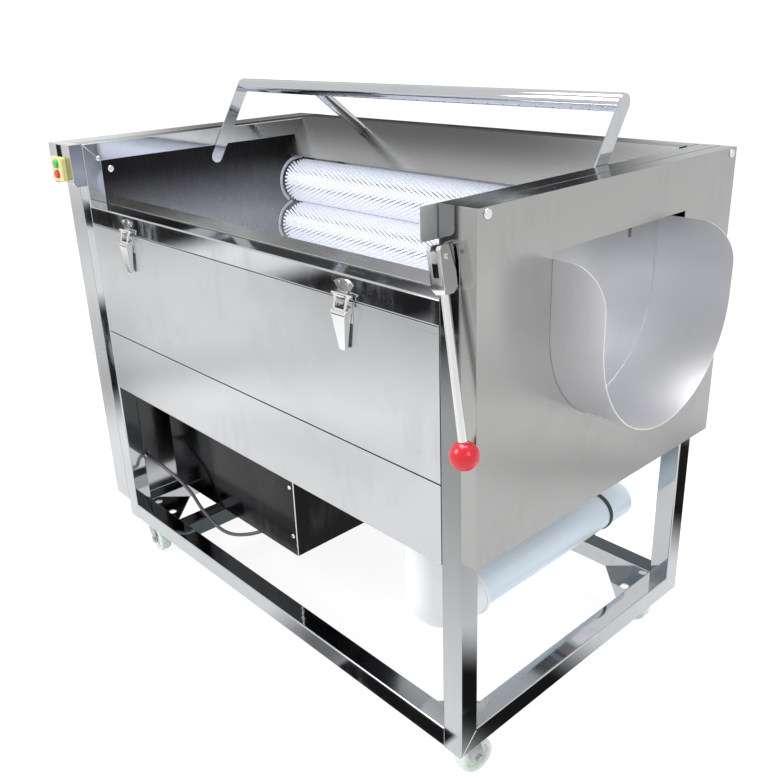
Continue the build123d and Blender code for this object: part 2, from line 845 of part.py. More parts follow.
def make_motor(reducer_left, shaft_right):
    """Geared motor: reducer on its foot, finned motor body and fan cover."""
    y, z = motor_axis()
    reducer_right = reducer_left + reducer_length
    half = reducer_size / 2
    floor = z_base + box_bottom + sheet + seat_gap
    reducer = block(reducer_left, reducer_right, y - half, y + half, z - half, z + half)
    foot = block(reducer_left, reducer_right, y - half - reducer_foot, y + half + reducer_foot, floor, z - half)
    boss = rod((reducer_left - motor_boss, y, z), (reducer_left, y, z), motor_boss_radius)
    body = rod((reducer_right, y, z), (reducer_right + motor_length, y, z), motor_radius - motor_fin)
    fins = []
    pitch = motor_length / motor_fins
    half_fin = pitch * fin_share / 2
    for index in range(motor_fins):
        x = reducer_right + pitch * (index + middle_share)
        fins.append(rod((x - half_fin, y, z), (x + half_fin, y, z), motor_radius))
    cover_left = reducer_right + motor_length
    cover = rod((cover_left, y, z), (cover_left + fan_cover_length, y, z), motor_radius)
    motor = reducer.fuse(foot, boss, body, cover, *fins)
    bore = rod((reducer_left - motor_boss - overrun, y, z), (shaft_right + overrun, y, z),
               output_shaft_radius + running_fit)
    return motor - bore


def make_drive_box():
    """Closed sheet box round the motor, between the body and two feet on the motor rail."""
    x0 = x_left + box_inset
    x1 = x0 + box_length
    y0 = y_front + box_front
    y1 = y0 + box_depth
    z0 = z_base + box_bottom
    z1 = z_base + body_bottom - seat_gap
    shell = block(x0, x1, y0, y1, z0, z1)
    shell = shell - block(x0 + sheet, x1 - sheet, y0 + sheet, y1 - sheet, z0 + sheet, z1 - sheet)
    y, z = motor_axis()
    shell = shell - rod((x0 - overrun, y, z), (x0 + sheet + overrun, y, z), motor_boss_radius + panel_gap)
    feet = []
    x = x_left + motor_rail_place + tube / 2
    half = box_foot / 2
    for step in (0, 1):
        y_foot = y0 + box_foot_from_front + step * box_foot_spacing
        feet.append(block(x - half, x + half, y_foot - half, y_foot + half, z_base + tube, z0))
    points = cable_points()
    plug = gland(points[-1], points[-2]) - block(x0, x1, y0, y1, z0, z1)
    return shell.fuse(*feet, plug)


def make_gate():
    """Discharge gate on its shaft, with the fork, rod and ball of the hand lever."""
    z_shaft = z_base + gate_shaft_height
    flap_radius = chute_width / 2 - sheet - gate_side_gap
    x_face = gate_plane - gate_sheet / 2
    flap = u_block(flap_radius, gate_top, x_face, x_face + gate_sheet)
    y_middle = y_front + chute_middle
    straps = []
    for side in (-1, 1):
        y = y_middle + side * gate_strap_spacing / 2
        half = gate_strap_width / 2
        low = z_base + gate_top - gate_strap_width
        x_strap = x_face + gate_sheet
        strap = block(x_strap, x_strap + gate_strap_sheet, y - half, y + half, low, z_shaft)
        ring = rod((gate_plane, y - half, z_shaft), (gate_plane, y + half, z_shaft), gate_collar_radius)
        straps.append(strap + ring)
    bore = rod((gate_plane, y_front, z_shaft), (gate_plane, y_rear, z_shaft), gate_shaft_radius)
    flap = flap.fuse(*straps) - bore

    y_fork = y_front - fork_stand_off
    y_start = y_fork - fork_block / 2
    shaft = rod((gate_plane, y_start, z_shaft), (gate_plane, y_rear - tube_wall - shaft_end_gap, z_shaft),
                gate_shaft_radius)
    place = Pos(gate_plane, y_fork, z_shaft) * Rot(-lever_out_angle, -lever_lean_angle, 0)
    flat = fork_slot / 2 - running_fit
    half = fork_block / 2
    for side in (-1, 1):
        x0, x1 = sorted((side * flat, side * 2 * gate_shaft_radius))
        shaft = shaft - place * block(x0, x1, -fork_block, half + overrun, -fork_block, fork_block)
    shaft = shaft - place * rod((-fork_block, 0, 0), (fork_block, 0, 0), fork_pin_radius)

    fork_bottom = fork_block_above - fork_block_length
    fork = block(-half, half, -half, half, fork_bottom + fork_taper, fork_block_above)
    fork = fillet(fork.edges().filter_by(Axis.X).group_by(Axis.Z)[-1], half / 2)
    taper = loft([
        Pos(0, 0, fork_bottom + fork_taper) * Rectangle(fork_block, fork_block),
        Pos(0, 0, fork_bottom) * Rectangle(fork_block - fork_taper, fork_block - fork_taper),
    ])
    slot = block(-fork_slot / 2, fork_slot / 2, -fork_block, fork_block,
                 fork_block_above - fork_slot_depth, fork_block_above + overrun)
    stem = rod((0, 0, fork_bottom + fork_taper), (0, 0, -lever_length + ball_radius - ball_neck), lever_rod_radius)
    pin = rod((-half - fork_pin_head, 0, 0), (half + fork_pin_head, 0, 0), fork_pin_radius)
    lever = ((fork + taper) - slot) + stem
    lever = lever + pin
    ball = Pos(0, 0, -lever_length) * Sphere(ball_radius)
    neck = rod((0, 0, -lever_length + ball_radius - ball_neck), (0, 0, -lever_length), lever_rod_radius)
    lever = lever + neck
    ball = ball - rod((0, 0, 0), (0, 0, -lever_length), lever_rod_radius)
    return {
        "gate_flap": flap,
        "gate_shaft": shaft,
        "gate_lever": place * lever,
        "lever_ball": place * ball,
    }


def make_switch():
    """Guard at the left end's front corner, switch box and its two buttons."""
    x0 = x_left - left_casing_depth
    x1 = x_left_inner
    y0 = y_front - guard_reach
    y1 = y_front - seat_gap
    z1 = z_top
    z0 = z_top - guard_drop
    guard = block(x0, x1, y0, y1, z0, z1)
    low_edges = guard.edges().filter_by(Axis.X).group_by(Axis.Z)[0]
    guard = fillet(low_edges.group_by(Axis.Y)[0], guard_corner)
    inner = block(x0 + sheet, x1 - sheet, y0 + sheet, y1 + overrun, z0 - overrun, z1 - sheet)
    slot_x = x0 + guard_slot_left
    slot = block(slot_x, slot_x + guard_slot, y0 - overrun, y0 + sheet + guard_corner, z0 - overrun, z1 - sheet)
    guard = guard - inner - slot
    box_x = x0 + switch_left
    box_z = z_top - switch_drop - switch_height
    face = y0 - switch_depth
    housing = block(box_x, box_x + switch_width, face, y0 - seat_gap / 2, box_z, box_z + switch_height)
    housing = fillet(housing.edges().filter_by(Axis.Y), switch_corner)
    neck = block(slot_x + seat_gap, slot_x + guard_slot - seat_gap, y0 - seat_gap, y1 - seat_gap,
                 box_z + switch_corner, box_z + switch_height - switch_corner)
    housing = housing + neck
    buttons = []
    x = slot_x + guard_slot / 2
    for side in (1, -1):
        z = box_z + switch_height / 2 + side * button_spacing / 2
        back = face + button_length + button_travel
        well = rod((x, face - overrun, z), (x, back + button_fit, z), button_radius + button_fit)
        housing = housing - well
        buttons.append(rod((x, face - button_out, z), (x, face + button_length, z), button_radius))
    return {
        "switch_guard": guard,
        "switch_box": housing,
        "start_button": buttons[0],
        "stop_button": buttons[1],
    }


def make_cheek():
    """Ear at the right end's front corner, on the inner face of the post."""
    x1 = x_right_inner - seat_gap
    y0 = y_front - cheek_reach
    y1 = y0 + cheek_reach + cheek_back
    z0 = z_top - cheek_drop
    cheek = block(x1 - sheet, x1, y0, y1, z0, z_top)
    corner = cheek.edges().filter_by(Axis.X).group_by(Axis.Z)[0].group_by(Axis.Y)[0]
    return fillet(corner, cheek_corner)


def fan_outline(x):
    """Front outline of a keeper: a fan on a narrow neck."""
    neck = keeper_neck / 2
    half = keeper_width / 2
    z_neck = z_base + keeper_neck_top
    z_corner = z_base + keeper_corner
    z_hook = z_base + hook_height
    crown = ThreePointArc((x + half, z_corner), (x, z_base + keeper_top), (x - half, z_corner))
    sides = Polyline(
        (x - half, z_corner), (x - neck, z_neck), (x - neck, z_hook),
        (x + neck, z_hook), (x + neck, z_neck), (x + half, z_corner),
    )
    return make_face([crown, *sides.edges()])


def hook_middle():
    """Middle of the keeper's hook as (y, z)."""
    return (y_front - seat_gap - latch_sheet - hook_bend_radius, z_base + hook_height)


def latch_pivot():
    """Axis of the lever's pivot on its base as (y, z)."""
    return (y_front - latch_pivot_out, z_base + latch_pivot_height)


def latch_link():
    """Axis of the link pin that carries the bail, on the closed lever."""
    y, z = latch_pivot()
    return (y - latch_link_out, z - latch_link_drop)


def latch_keeper(x):
    """Riveted keeper on the top rail, rolled at its foot into an upward hook."""
    face = y_front - seat_gap
    keeper = extrude(Plane.XZ.offset(-face) * fan_outline(x), latch_sheet)
    half = keeper_neck / 2
    y, z = hook_middle()
    outer = hook_bend_radius + latch_sheet
    hook = rod((x - half, y, z), (x + half, y, z), outer)
    hook = hook - rod((x - half - overrun, y, z), (x + half + overrun, y, z), hook_bend_radius)
    hook = hook - block(x - half - overrun, x + half + overrun, y - 2 * outer, y + 2 * outer, z, z + 2 * outer)
    rivets = []
    z_rivet = z_base + keeper_corner
    for side in (-1, 1):
        place = x + side * rivet_spacing / 2
        rivets.append(rod((place, face, z_rivet), (place, face - latch_sheet - rivet_head, z_rivet), rivet_radius))
    return keeper.fuse(hook, *rivets)


def latch_base(x):
    """Base plate on the panel, with the two ears and studs that carry the lever."""
    face = y_front - seat_gap
    y, z = latch_pivot()
    inner = latch_lever_width / 2 + latch_side_gap
    outer = inner + latch_sheet
    top = z_base + front_rail_top - tube - seat_gap
    base = block(x - outer, x + outer, face - latch_sheet, face, z_base + latch_base_bottom, top)
    slot_low = z + latch_eye_radius
    base = base - block(x - latch_base_slot / 2, x + latch_base_slot / 2, face - 2 * latch_sheet, face + overrun,
                        slot_low, top - latch_eye_radius)
    radius = latch_eye_radius
    ear = make_hull([
        *(Pos(y, z) * Circle(radius)).edges(),
        *(Pos(face - latch_sheet / 2, z) * Rectangle(latch_sheet, 4 * radius)).edges(),
    ])
    pieces = []
    for side in (-1, 1):
        x0 = min(x + side * inner, x + side * outer)
        pieces.append(extrude(Plane.YZ.offset(x0) * ear, latch_sheet))
        pieces.append(rod((x + side * outer, y, z), (x + side * (inner - latch_side_gap - latch_sheet), y, z),
                          latch_pin_radius))
    return base.fuse(*pieces)


def latch_lever(x):
    """Tapered channel lever with its link pin, hanging closed from the base's studs."""
    y, z = latch_pivot()
    y_link, z_link = latch_link()
    radius = latch_eye_radius
    y_tip = y_link + latch_lever_lean
    z_tip = z_link - latch_lever_length
    side_outline = make_hull([
        *(Pos(y, z) * Circle(radius)).edges(),
        *(Pos(y_link, z_link) * Circle(radius)).edges(),
        *(Pos(y_tip, z_tip) * Circle(radius)).edges(),
    ])
    half = latch_lever_width / 2
    tip = latch_lever_tip / 2
    front = make_hull([
        *(Pos(x, z) * Rectangle(latch_lever_width, 4 * radius)).edges(),
        *(Pos(x, z_tip - radius + tip) * Circle(tip)).edges(),
    ])
    inner_front = make_hull([
        *(Pos(x, z) * Rectangle(latch_lever_width - 2 * latch_sheet, 6 * radius)).edges(),
        *(Pos(x, z_tip - radius + tip) * Circle(tip - latch_sheet)).edges(),
    ])
    reach = latch_lever_length
    outer = extrude(Plane.YZ.offset(x - half) * side_outline, latch_lever_width)
    outer = outer & extrude(Plane.XZ.offset(-y_front - reach) * front, 2 * reach)
    hollow_outline = Polyline(
        (y_link - radius + latch_sheet, z + 2 * radius), (y_link - radius + latch_sheet, z_link),
        (y_tip - radius + latch_sheet, z_tip - 2 * radius), (y_front + reach, z_tip - 2 * radius),
        (y_front + reach, z + 2 * radius), close=True,
    )
    hollow = extrude(Plane.YZ.offset(x - half) * make_face(hollow_outline), latch_lever_width)
    hollow = hollow & extrude(Plane.XZ.offset(-y_front - reach) * inner_front, 2 * reach)
    inner = half - latch_sheet
    mouth = block(x - inner, x + inner, y_front - reach, y_front + reach, z_link - radius - latch_side_gap, z + reach)
    studs = rod((x - half - overrun, y, z), (x + half + overrun, y, z), latch_pin_radius + running_fit)
    lever = outer - hollow - mouth - studs
    return lever + rod((x - half, y_link, z_link), (x + half, y_link, z_link), latch_pin_radius)


def latch_bail(x):
    """Bail: an eye round the link pin, two arms and the cross bar in the keeper's hook."""
    y_link, z_link = latch_link()
    y_bar, z_bar = hook_middle()
    z_bar = z_bar - (hook_bend_radius - bail_bar_radius - bail_bar_gap)
    rise = Vector(0, y_bar - y_link, z_bar - z_link)
    length = rise.length
    eye_half = latch_lever_width / 2 - latch_sheet - latch_side_gap
    bar_half = bail_bar_length / 2
    half = bail_width / 2
    shoulder = bail_web + 2 * (half - eye_half)
    outline = Polyline(
        (-eye_half, 0), (eye_half, 0), (eye_half, bail_web), (half, shoulder), (half, length - bail_flare),
        (bar_half - bail_bar_radius, length), (bail_bar_radius - bar_half, length),
        (-half, length - bail_flare), (-half, shoulder), (-eye_half, bail_web), close=True,
    )
    bail = extrude(Plane.XZ.offset(-latch_sheet / 2) * make_face(outline), latch_sheet)
    window = bail_window / 2
    bail = bail - block(-window, window, -latch_sheet, latch_sheet, bail_web, length)
    bail = bail + rod((-eye_half, 0, 0), (eye_half, 0, 0), latch_eye_radius)
    bail = bail + rod((-bar_half, 0, length), (bar_half, 0, length), bail_bar_radius)
    bail = bail - rod((-half, 0, 0), (half, 0, 0), latch_pin_radius + running_fit)
    lean = degrees(asin(rise.Y / length))
    return Pos(x, y_link, z_link) * Rot(-lean, 0, 0) * bail


def make_latches():
    """Two toggle latches that hold the removable upper panel to the top rail."""
    plates = []
    parts = {}
    for name, place in (("left", left_latch_place), ("right", right_latch_place)):
        x = x_left + place
        plates.extend([latch_keeper(x), latch_base(x)])
        parts[f"{name}_latch_lever"] = latch_lever(x)
        parts[f"{name}_latch_bail"] = latch_bail(x)
    parts["latch_plates"] = plates
    return parts


def caster_places():
    """Kingpin of each caster and the way its wheel trails, in degrees from +X."""
    x0 = x_left + caster_inset
    x1 = x_right - caster_inset
    y0 = y_front + caster_inset
    y1 = y_rear - caster_inset
    return ((x0, y0, -5), (x1, y0, 80), (x0, y1, 20), (x1, y1, 180))


def make_caster_fork():
    """Swivel fork with its race and axle, trailing towards +X from the kingpin."""
    half = fork_side_gap + wheel_width / 2
    axle_z = wheel_diameter / 2
    z_top_plate = caster_height - caster_plate_thickness - caster_race_depth - seat_gap
    crown_width = 2 * (half + fork_wall)
    crown = extrude(Pos(0, 0, z_top_plate - fork_wall) * Circle(caster_race_radius), fork_wall)
    reach = caster_trail + fork_width_at_axle / 2
    crown = crown + block(0, reach - fork_width_at_axle / 4, -crown_width / 2, crown_width / 2,
                          z_top_plate - fork_wall, z_top_plate)
    sides = []
    for side in (-1, 1):
        y0, y1 = sorted((side * half, side * (half + fork_wall)))
        w = fork_width_at_axle / 2
        outline = make_hull([
            *(Pos(caster_trail, axle_z) * Circle(w)).edges(),
            *(Pos(caster_race_radius / 2, z_top_plate - fork_wall / 2)
              * Rectangle(2 * caster_race_radius * fork_root_share, fork_wall)).edges(),
        ])
        sides.append(extrude(Plane.XZ.offset(-y1) * outline, y1 - y0))
    axle = rod((caster_trail, -half - fork_wall - axle_head, axle_z), (caster_trail, half + fork_wall + axle_head, axle_z),
               axle_radius)
    heads = []
    for side in (-1, 1):
        start = side * (half + fork_wall)
        heads.append(rod((caster_trail, start, axle_z), (caster_trail, start + side * axle_head, axle_z), axle_head_radius))
    fork = crown.fuse(*sides, axle, *heads)
    return fork - rod((0, 0, 0), (0, 0, caster_height), kingpin_radius + running_fit)


def make_caster_wheel():
    """Plastic wheel with a crowned tread and a recessed web, on the axle."""
    axle_z = wheel_diameter / 2
    radius = wheel_diameter / 2
    half = wheel_width / 2
    wheel = Cylinder(radius, wheel_width)
    wheel = fillet(wheel.edges().filter_by(GeomType.CIRCLE), wheel_crown)
    recess = radius - 2 * wheel_crown
    hub = radius * wheel_hub_share
    for side in (-1, 1):
        ring = Cylinder(recess, wheel_crown) - Cylinder(hub, wheel_crown)
        wheel = wheel - Pos(0, 0, side * (half - wheel_crown / 2)) * ring
    wheel = wheel - Cylinder(axle_radius + running_fit, 2 * wheel_width)
    return Pos(caster_trail, 0, axle_z) * Rot(90, 0, 0) * wheel


def make_casters():
    """Four swivel casters under the corners of the frame."""
    z_plate = caster_height - caster_plate_thickness
    half = caster_plate_size / 2
    mounting = block(-half, half, -half, half, z_plate, caster_height)
    race = rod((0, 0, z_plate - caster_race_depth), (0, 0, z_plate), caster_race_radius)
    pin_low = z_plate - caster_race_depth - seat_gap - 2 * fork_wall
    pin = rod((0, 0, pin_low), (0, 0, z_plate), kingpin_radius)
    mounting = mounting + race + pin
    fork = make_caster_fork()
    wheel = make_caster_wheel()
    parts = {}
    plates = []
    for index, (x, y, trail) in enumerate(caster_places()):
        place = Pos(x, y, 0) * Rot(0, 0, trail)
        plates.append(Pos(x, y, 0) * mounting)
        parts[f"caster_fork_{index + 1}"] = place * fork
        parts[f"caster_wheel_{index + 1}"] = place * wheel
    parts["caster_plates"] = plates
    return parts


def make_screws():
    """Domed screws of the end plate and the casings, and the drive box's two."""
    screws = []

    def dome(x, y, z, direction, radius):
        """Low domed head that lies on a face."""
        head = Cylinder(radius, screw_head, align=(Align.CENTER, Align.CENTER, Align.MIN))
        head = fillet(head.edges().group_by(Axis.Z)[-1], screw_head * dome_share)
        screws.append(Plane(origin=(x, y, z), z_dir=direction) * head)

    dome(x_left_inner, y_front + tube + screw_inset, z_top - tube - screw_inset, (1, 0, 0), screw_radius)
    dome(x_left_inner, y_front + small_screw_inset, z_top - small_screw_inset, (1, 0, 0), small_screw_radius)
    for y in (y_front + screw_inset, y_rear - screw_inset):
        dome(x_right + right_casing_depth, y, z_top - screw_inset / 2, (1, 0, 0), screw_radius)
    box_x = x_left + box_inset + box_length - box_screw_edge
    for z in (box_screw_low, box_screw_high):
        dome(box_x, y_front + box_front, z_base + box_bottom + z, (0, -1, 0), small_screw_radius)
    return screws


def arc_radii(points):
    """Radius of the arc at each corner: as large as its two runs allow."""
    radii = []
    vectors = [Vector(*point) for point in points]
    for before, corner, after in zip(vectors, vectors[1:], vectors[2:]):
        run_in = corner - before
        run_out = after - corner
        half_turn = radians(run_in.get_angle(run_out)) / 2
        radii.append(cable_arc_share * min(run_in.length, run_out.length) / tan(half_turn))
    return radii


def make_cable():
    """Motor cable, held by the casing at one end and the drive box at the other."""
    points = cable_points()
    radii = arc_radii(points)
    print("cable arc radii", [round(radius, 1) for radius in radii])
    route = FilletPolyline(*points, radius=radii)
    start = Plane(origin=points[0], z_dir=Vector(*points[1]) - Vector(*points[0]))
    cable = sweep(start * Circle(cable_radius), route)
    section = pi * cable_radius**2
    print("cable volume", round(cable.volume), "section times length", round(section * route.length))
    return cable


def build_all():
    """Every node of the machine, by name."""
    parts = {}
    parts.update(make_frame())
    parts.update(make_panels())
    parts["left_casing"] = make_left_casing()
    parts["left_drive_plate"] = make_drive_plate()
    parts["right_casing"] = make_right_casing()
    parts["discharge_chute"] = make_chute()
    parts.update(make_bearing_plates())
    parts.update(make_baffles())
    parts["drain_pan"] = make_pan()
    parts.update(make_drain())
    parts["spray_bar"] = make_spray_bar()
    parts.update(make_rollers())
    parts["bearing_housings"] = make_bearings()
    parts.update(make_drive())
    parts.update(make_gate())
    parts.update(make_switch())
    parts["right_cheek"] = make_cheek()
    parts.update(make_latches())
    parts.update(make_casters())
    parts["panel_screws"] = make_screws()
    parts["motor_cable"] = make_cable()
    return parts


os.makedirs("parts", exist_ok=True)
for node, shape in build_all().items():
    if isinstance(shape, list):
        solids = [solid for piece in shape for solid in piece.solids()]
    else:
        solids = list(shape.solids())
    export_step(Compound(children=solids) if len(solids) > 1 else solids[0], f"parts/{node}.step")
    print(node, len(solids))
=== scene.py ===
"""Looks of the brush-roller peeling and washing machine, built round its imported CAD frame.

Every length is in metres, in the CAD's own frame: +X along the rollers towards the
discharge chute, -Y towards the front with the two toggle latches, +Z up, and the
floor at z = 0. Each sub-assembly is a class that builds and dresses its own pieces.
"""

import json
import logging
import math
from dataclasses import dataclass
from enum import Enum
from typing import Callable, Iterable, Sequence

import bpy
from mathutils import Matrix, Vector

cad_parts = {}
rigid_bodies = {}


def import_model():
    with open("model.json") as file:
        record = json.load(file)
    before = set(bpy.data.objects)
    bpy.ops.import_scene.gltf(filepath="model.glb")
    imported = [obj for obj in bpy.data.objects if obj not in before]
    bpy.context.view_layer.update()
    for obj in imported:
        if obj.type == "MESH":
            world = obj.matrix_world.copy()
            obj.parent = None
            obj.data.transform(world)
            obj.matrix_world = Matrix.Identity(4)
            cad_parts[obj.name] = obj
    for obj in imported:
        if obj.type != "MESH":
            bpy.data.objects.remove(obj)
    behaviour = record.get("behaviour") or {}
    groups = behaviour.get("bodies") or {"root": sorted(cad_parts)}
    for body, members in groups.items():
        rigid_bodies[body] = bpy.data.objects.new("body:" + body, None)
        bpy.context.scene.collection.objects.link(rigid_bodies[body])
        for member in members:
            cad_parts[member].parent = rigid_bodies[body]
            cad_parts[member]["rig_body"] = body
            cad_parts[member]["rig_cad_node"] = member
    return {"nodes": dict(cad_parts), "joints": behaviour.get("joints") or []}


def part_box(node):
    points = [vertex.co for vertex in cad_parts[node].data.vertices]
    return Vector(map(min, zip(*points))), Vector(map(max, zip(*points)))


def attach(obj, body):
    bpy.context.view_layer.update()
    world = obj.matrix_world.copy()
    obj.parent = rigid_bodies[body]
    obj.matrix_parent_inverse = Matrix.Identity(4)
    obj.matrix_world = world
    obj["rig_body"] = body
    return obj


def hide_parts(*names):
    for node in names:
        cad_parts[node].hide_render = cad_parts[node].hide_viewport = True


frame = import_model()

logging.basicConfig(level=logging.INFO, format="%(name)s: %(message)s")
LOG = logging.getLogger("machine")

Point = Sequence[float]
Colour = tuple[float, float, float]
Piece = bpy.types.Object
Face = bpy.types.MeshPolygon
FaceTest = Callable[[Face], bool]
Tree = bpy.types.NodeTree
Node = bpy.types.Node
Socket = bpy.types.NodeSocket

X_AXIS: Point = (1, 0, 0)
MILLIMETRES = 1000  # In a metre.
MERGE_DISTANCE = 1e-6  # Vertices nearer than this are one.
FLAT_DEGREES = 0.4  # Faces that meet below this angle lie in one plane.
SMOOTH_DEGREES = 32.0  # Faces that meet below this angle are shaded as one curve.
FACING_SHARE = 0.7  # Cosine above which a face looks along an axis.
EVEN: Point = (1.0, 1.0, 1.0)  # Stretch of a pattern that has no direction.
WHITE: Colour = (1.0, 1.0, 1.0)


class Slot(Enum):
    """Material slots of the record that a piece takes its finish from."""

    POLISHED = "polished_steel"
    SATIN = "satin_steel"
    NYLON = "white_nylon"
    RED = "red_plastic"
    GREEN = "green_plastic"
    YELLOW = "yellow_plastic"
    PVC = "white_pvc"
    STRAP = "black_strap"
    WHEEL = "wheel_plastic"
    ZINC = "zinc_steel"
    PAINT = "motor_paint"
    CASTING = "cast_iron_housing"
    CHAIN = "chain_steel"
    CABLE = "cable_grey"


class Along(Enum):
    """Direction that the grain of a rolled or ground sheet runs in."""

    X = (0.02, 1.0, 1.0)
    Y = (1.0, 0.02, 1.0)
    Z = (1.0, 1.0, 0.02)
    NONE = (1.0, 1.0, 1.0)


# Working with bpy.ops


def deselect_all() -> None:
    """Leaves edit mode and selects nothing."""
    if bpy.context.mode != "OBJECT":
        bpy.ops.object.mode_set(mode="OBJECT")
    bpy.ops.object.select_all(action="DESELECT")


def pick(piece: Piece) -> Piece:
    """Makes a piece the only selected and the active object.

    Args:
        piece: The object to work on.

    Returns:
        The same object.
    """
    deselect_all()
    piece.select_set(True)
    bpy.context.view_layer.objects.active = piece
    return piece


def edit_all(piece: Piece) -> None:
    """Opens a piece in edit mode with all of it selected."""
    pick(piece)
    bpy.ops.object.mode_set(mode="EDIT")
    bpy.ops.mesh.select_all(action="SELECT")


def select_faces(piece: Piece, wanted: FaceTest) -> None:
    """Opens a piece in edit mode with only the faces selected that a test picks.

    Args:
        piece: The mesh object.
        wanted: Test of a face, in object mode.
    """
    pick(piece)
    for edge in piece.data.edges:
        edge.select = False
    for vertex in piece.data.vertices:
        vertex.select = False
    for face in piece.data.polygons:
        face.select = wanted(face)
    bpy.ops.object.mode_set(mode="EDIT")
    bpy.ops.mesh.select_mode(type="FACE")


def looks_up(face: Face) -> bool:
    """Tells a face that looks upwards."""
    return face.normal.z > FACING_SHARE


def joint(name: str) -> dict:
    """The joint of a name in the CAD frame's record."""
    return next(row for row in frame["joints"] if row["name"] == name)


def placed(name: str, data: bpy.types.ID | None) -> Piece:
    """Makes an object and links it to the scene.

    Args:
        name: Its name.
        data: Its mesh, curve, lamp or camera, or None for an empty.

    Returns:
        The new object.
    """
    made = bpy.data.objects.new(name, data)
    bpy.context.scene.collection.objects.link(made)
    return made


def settle(piece: Piece) -> Piece:
    """Moves a piece's place into its mesh, so that the object sits at the origin."""
    pick(piece)
    bpy.ops.object.transform_apply(location=True, rotation=True, scale=True)
    return piece


def apply_modifiers(piece: Piece) -> Piece:
    """Applies every modifier of a piece, first to last."""
    pick(piece)
    for modifier in list(piece.modifiers):
        bpy.ops.object.modifier_apply(modifier=modifier.name)
    return piece


def smooth(piece: Piece) -> Piece:
    """Shades a piece smooth where its faces meet below the smooth angle."""
    pick(piece)
    bpy.ops.object.shade_smooth_by_angle(angle=math.radians(SMOOTH_DEGREES))
    return piece


def level_normals(piece: Piece) -> Piece:
    """Weights a piece's smooth normals by face area, so that its flat faces mirror flat."""
    weighting = piece.modifiers.new("weighting", "WEIGHTED_NORMAL")
    weighting.mode = "FACE_AREA"
    weighting.weight = 100
    weighting.keep_sharp = True
    return apply_modifiers(piece)


def bevel(piece: Piece, width: float, segments: int = 2, angle: float = 34.0) -> Piece:
    """Rounds a piece's sharp edges.

    Args:
        piece: The mesh object.
        width: Width of the rounding.
        segments: Facets across it.
        angle: Only edges sharper than this are rounded, in degrees.

    Returns:
        The same object, with the modifier applied.
    """
    rounding = piece.modifiers.new("rounding", "BEVEL")
    rounding.width = width
    rounding.segments = segments
    rounding.limit_method = "ANGLE"
    rounding.angle_limit = math.radians(angle)
    rounding.harden_normals = False
    return apply_modifiers(piece)


def join(pieces: Sequence[Piece], name: str) -> Piece:
    """Joins several objects into the first one.

    Args:
        pieces: The objects, all of them meshes.
        name: Name of the joined piece.

    Returns:
        The joined object.
    """
    deselect_all()
    for piece in pieces:
        piece.select_set(True)
    bpy.context.view_layer.objects.active = pieces[0]
    if len(pieces) > 1:
        bpy.ops.object.join()
    joined = bpy.context.view_layer.objects.active
    joined.name = name
    joined.data.name = name
    return joined


def lathe_rod(name: str, start: Point, end: Point, radius: float, sides: int = 24,
              chamfer: float = 0.0) -> Piece:
    """Round bar between two points, with chamfered ends.

    Args:
        name: Name of the piece.
        start: Centre of its first end.
        end: Centre of its second end.
        radius: Its radius.
        sides: Facets round it.
        chamfer: Width of the chamfer at its ends.

    Returns:
        The new object, settled.
    """
    deselect_all()
    run = Vector(end) - Vector(start)
    bpy.ops.mesh.primitive_cylinder_add(vertices=sides, radius=radius, depth=run.length)
    bar = bpy.context.active_object
    bar.name = name
    if chamfer:
        bevel(bar, chamfer, angle=60)
    turn = run.to_track_quat("Z", "Y").to_matrix().to_4x4()
    bar.matrix_world = Matrix.Translation((Vector(start) + Vector(end)) / 2) @ turn
    return smooth(settle(bar))


def turned(name: str, profile: Iterable[Point], centre: Point, axis: Point,
           steps: int = 48) -> Piece:
    """Turns a profile round an axis, as on a lathe.

    Args:
        name: Name of the piece.
        profile: Points as (radius, place along the axis), from one end to the other.
        centre: Point of the axis where the place along it is 0.
        axis: Direction of the axis.
        steps: Facets round it.

    Returns:
        The new object, closed and settled.
    """
    deselect_all()
    mesh = bpy.data.meshes.new(name)
    points = [(radius, 0.0, place) for radius, place in profile]
    mesh.from_pydata(points, [(i, i + 1) for i in range(len(points) - 1)], [])
    piece = placed(name, mesh)
    edit_all(piece)
    bpy.ops.mesh.spin(steps=steps, angle=math.tau, center=(0, 0, 0), axis=(0, 0, 1))
    bpy.ops.mesh.select_all(action="SELECT")
    bpy.ops.mesh.remove_doubles(threshold=MERGE_DISTANCE)
    bpy.ops.mesh.normals_make_consistent(inside=False)
    bpy.ops.object.mode_set(mode="OBJECT")
    turn = Vector(axis).to_track_quat("Z", "Y").to_matrix().to_4x4()
    piece.matrix_world = Matrix.Translation(Vector(centre)) @ turn
    return smooth(settle(piece))


def refined(node: str, rounding: float = 0.0) -> Piece:
    """Copies a CAD node, merges its loose triangles, smooths its curves and stands for it.

    Args:
        node: Name of the CAD node.
        rounding: Width of the rounding of its sharp edges, or 0.

    Returns:
        The new piece, with the node's name and _skin, riding on the node's body.
    """
    source = frame["nodes"][node]
    piece = placed(f"{node}_skin", source.data.copy())
    piece.data.name = piece.name
    pick(piece)
    if piece.data.has_custom_normals:
        bpy.ops.mesh.customdata_custom_splitnormals_clear()
    edit_all(piece)
    bpy.ops.mesh.remove_doubles(threshold=MERGE_DISTANCE)
    bpy.ops.mesh.dissolve_limited(angle_limit=math.radians(FLAT_DEGREES), delimit={"NORMAL"})
    bpy.ops.object.mode_set(mode="OBJECT")
    if rounding:
        bevel(piece, rounding)
    level_normals(smooth(piece))
    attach(piece, source["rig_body"])
    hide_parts(node)
    return piece


# Shader parts


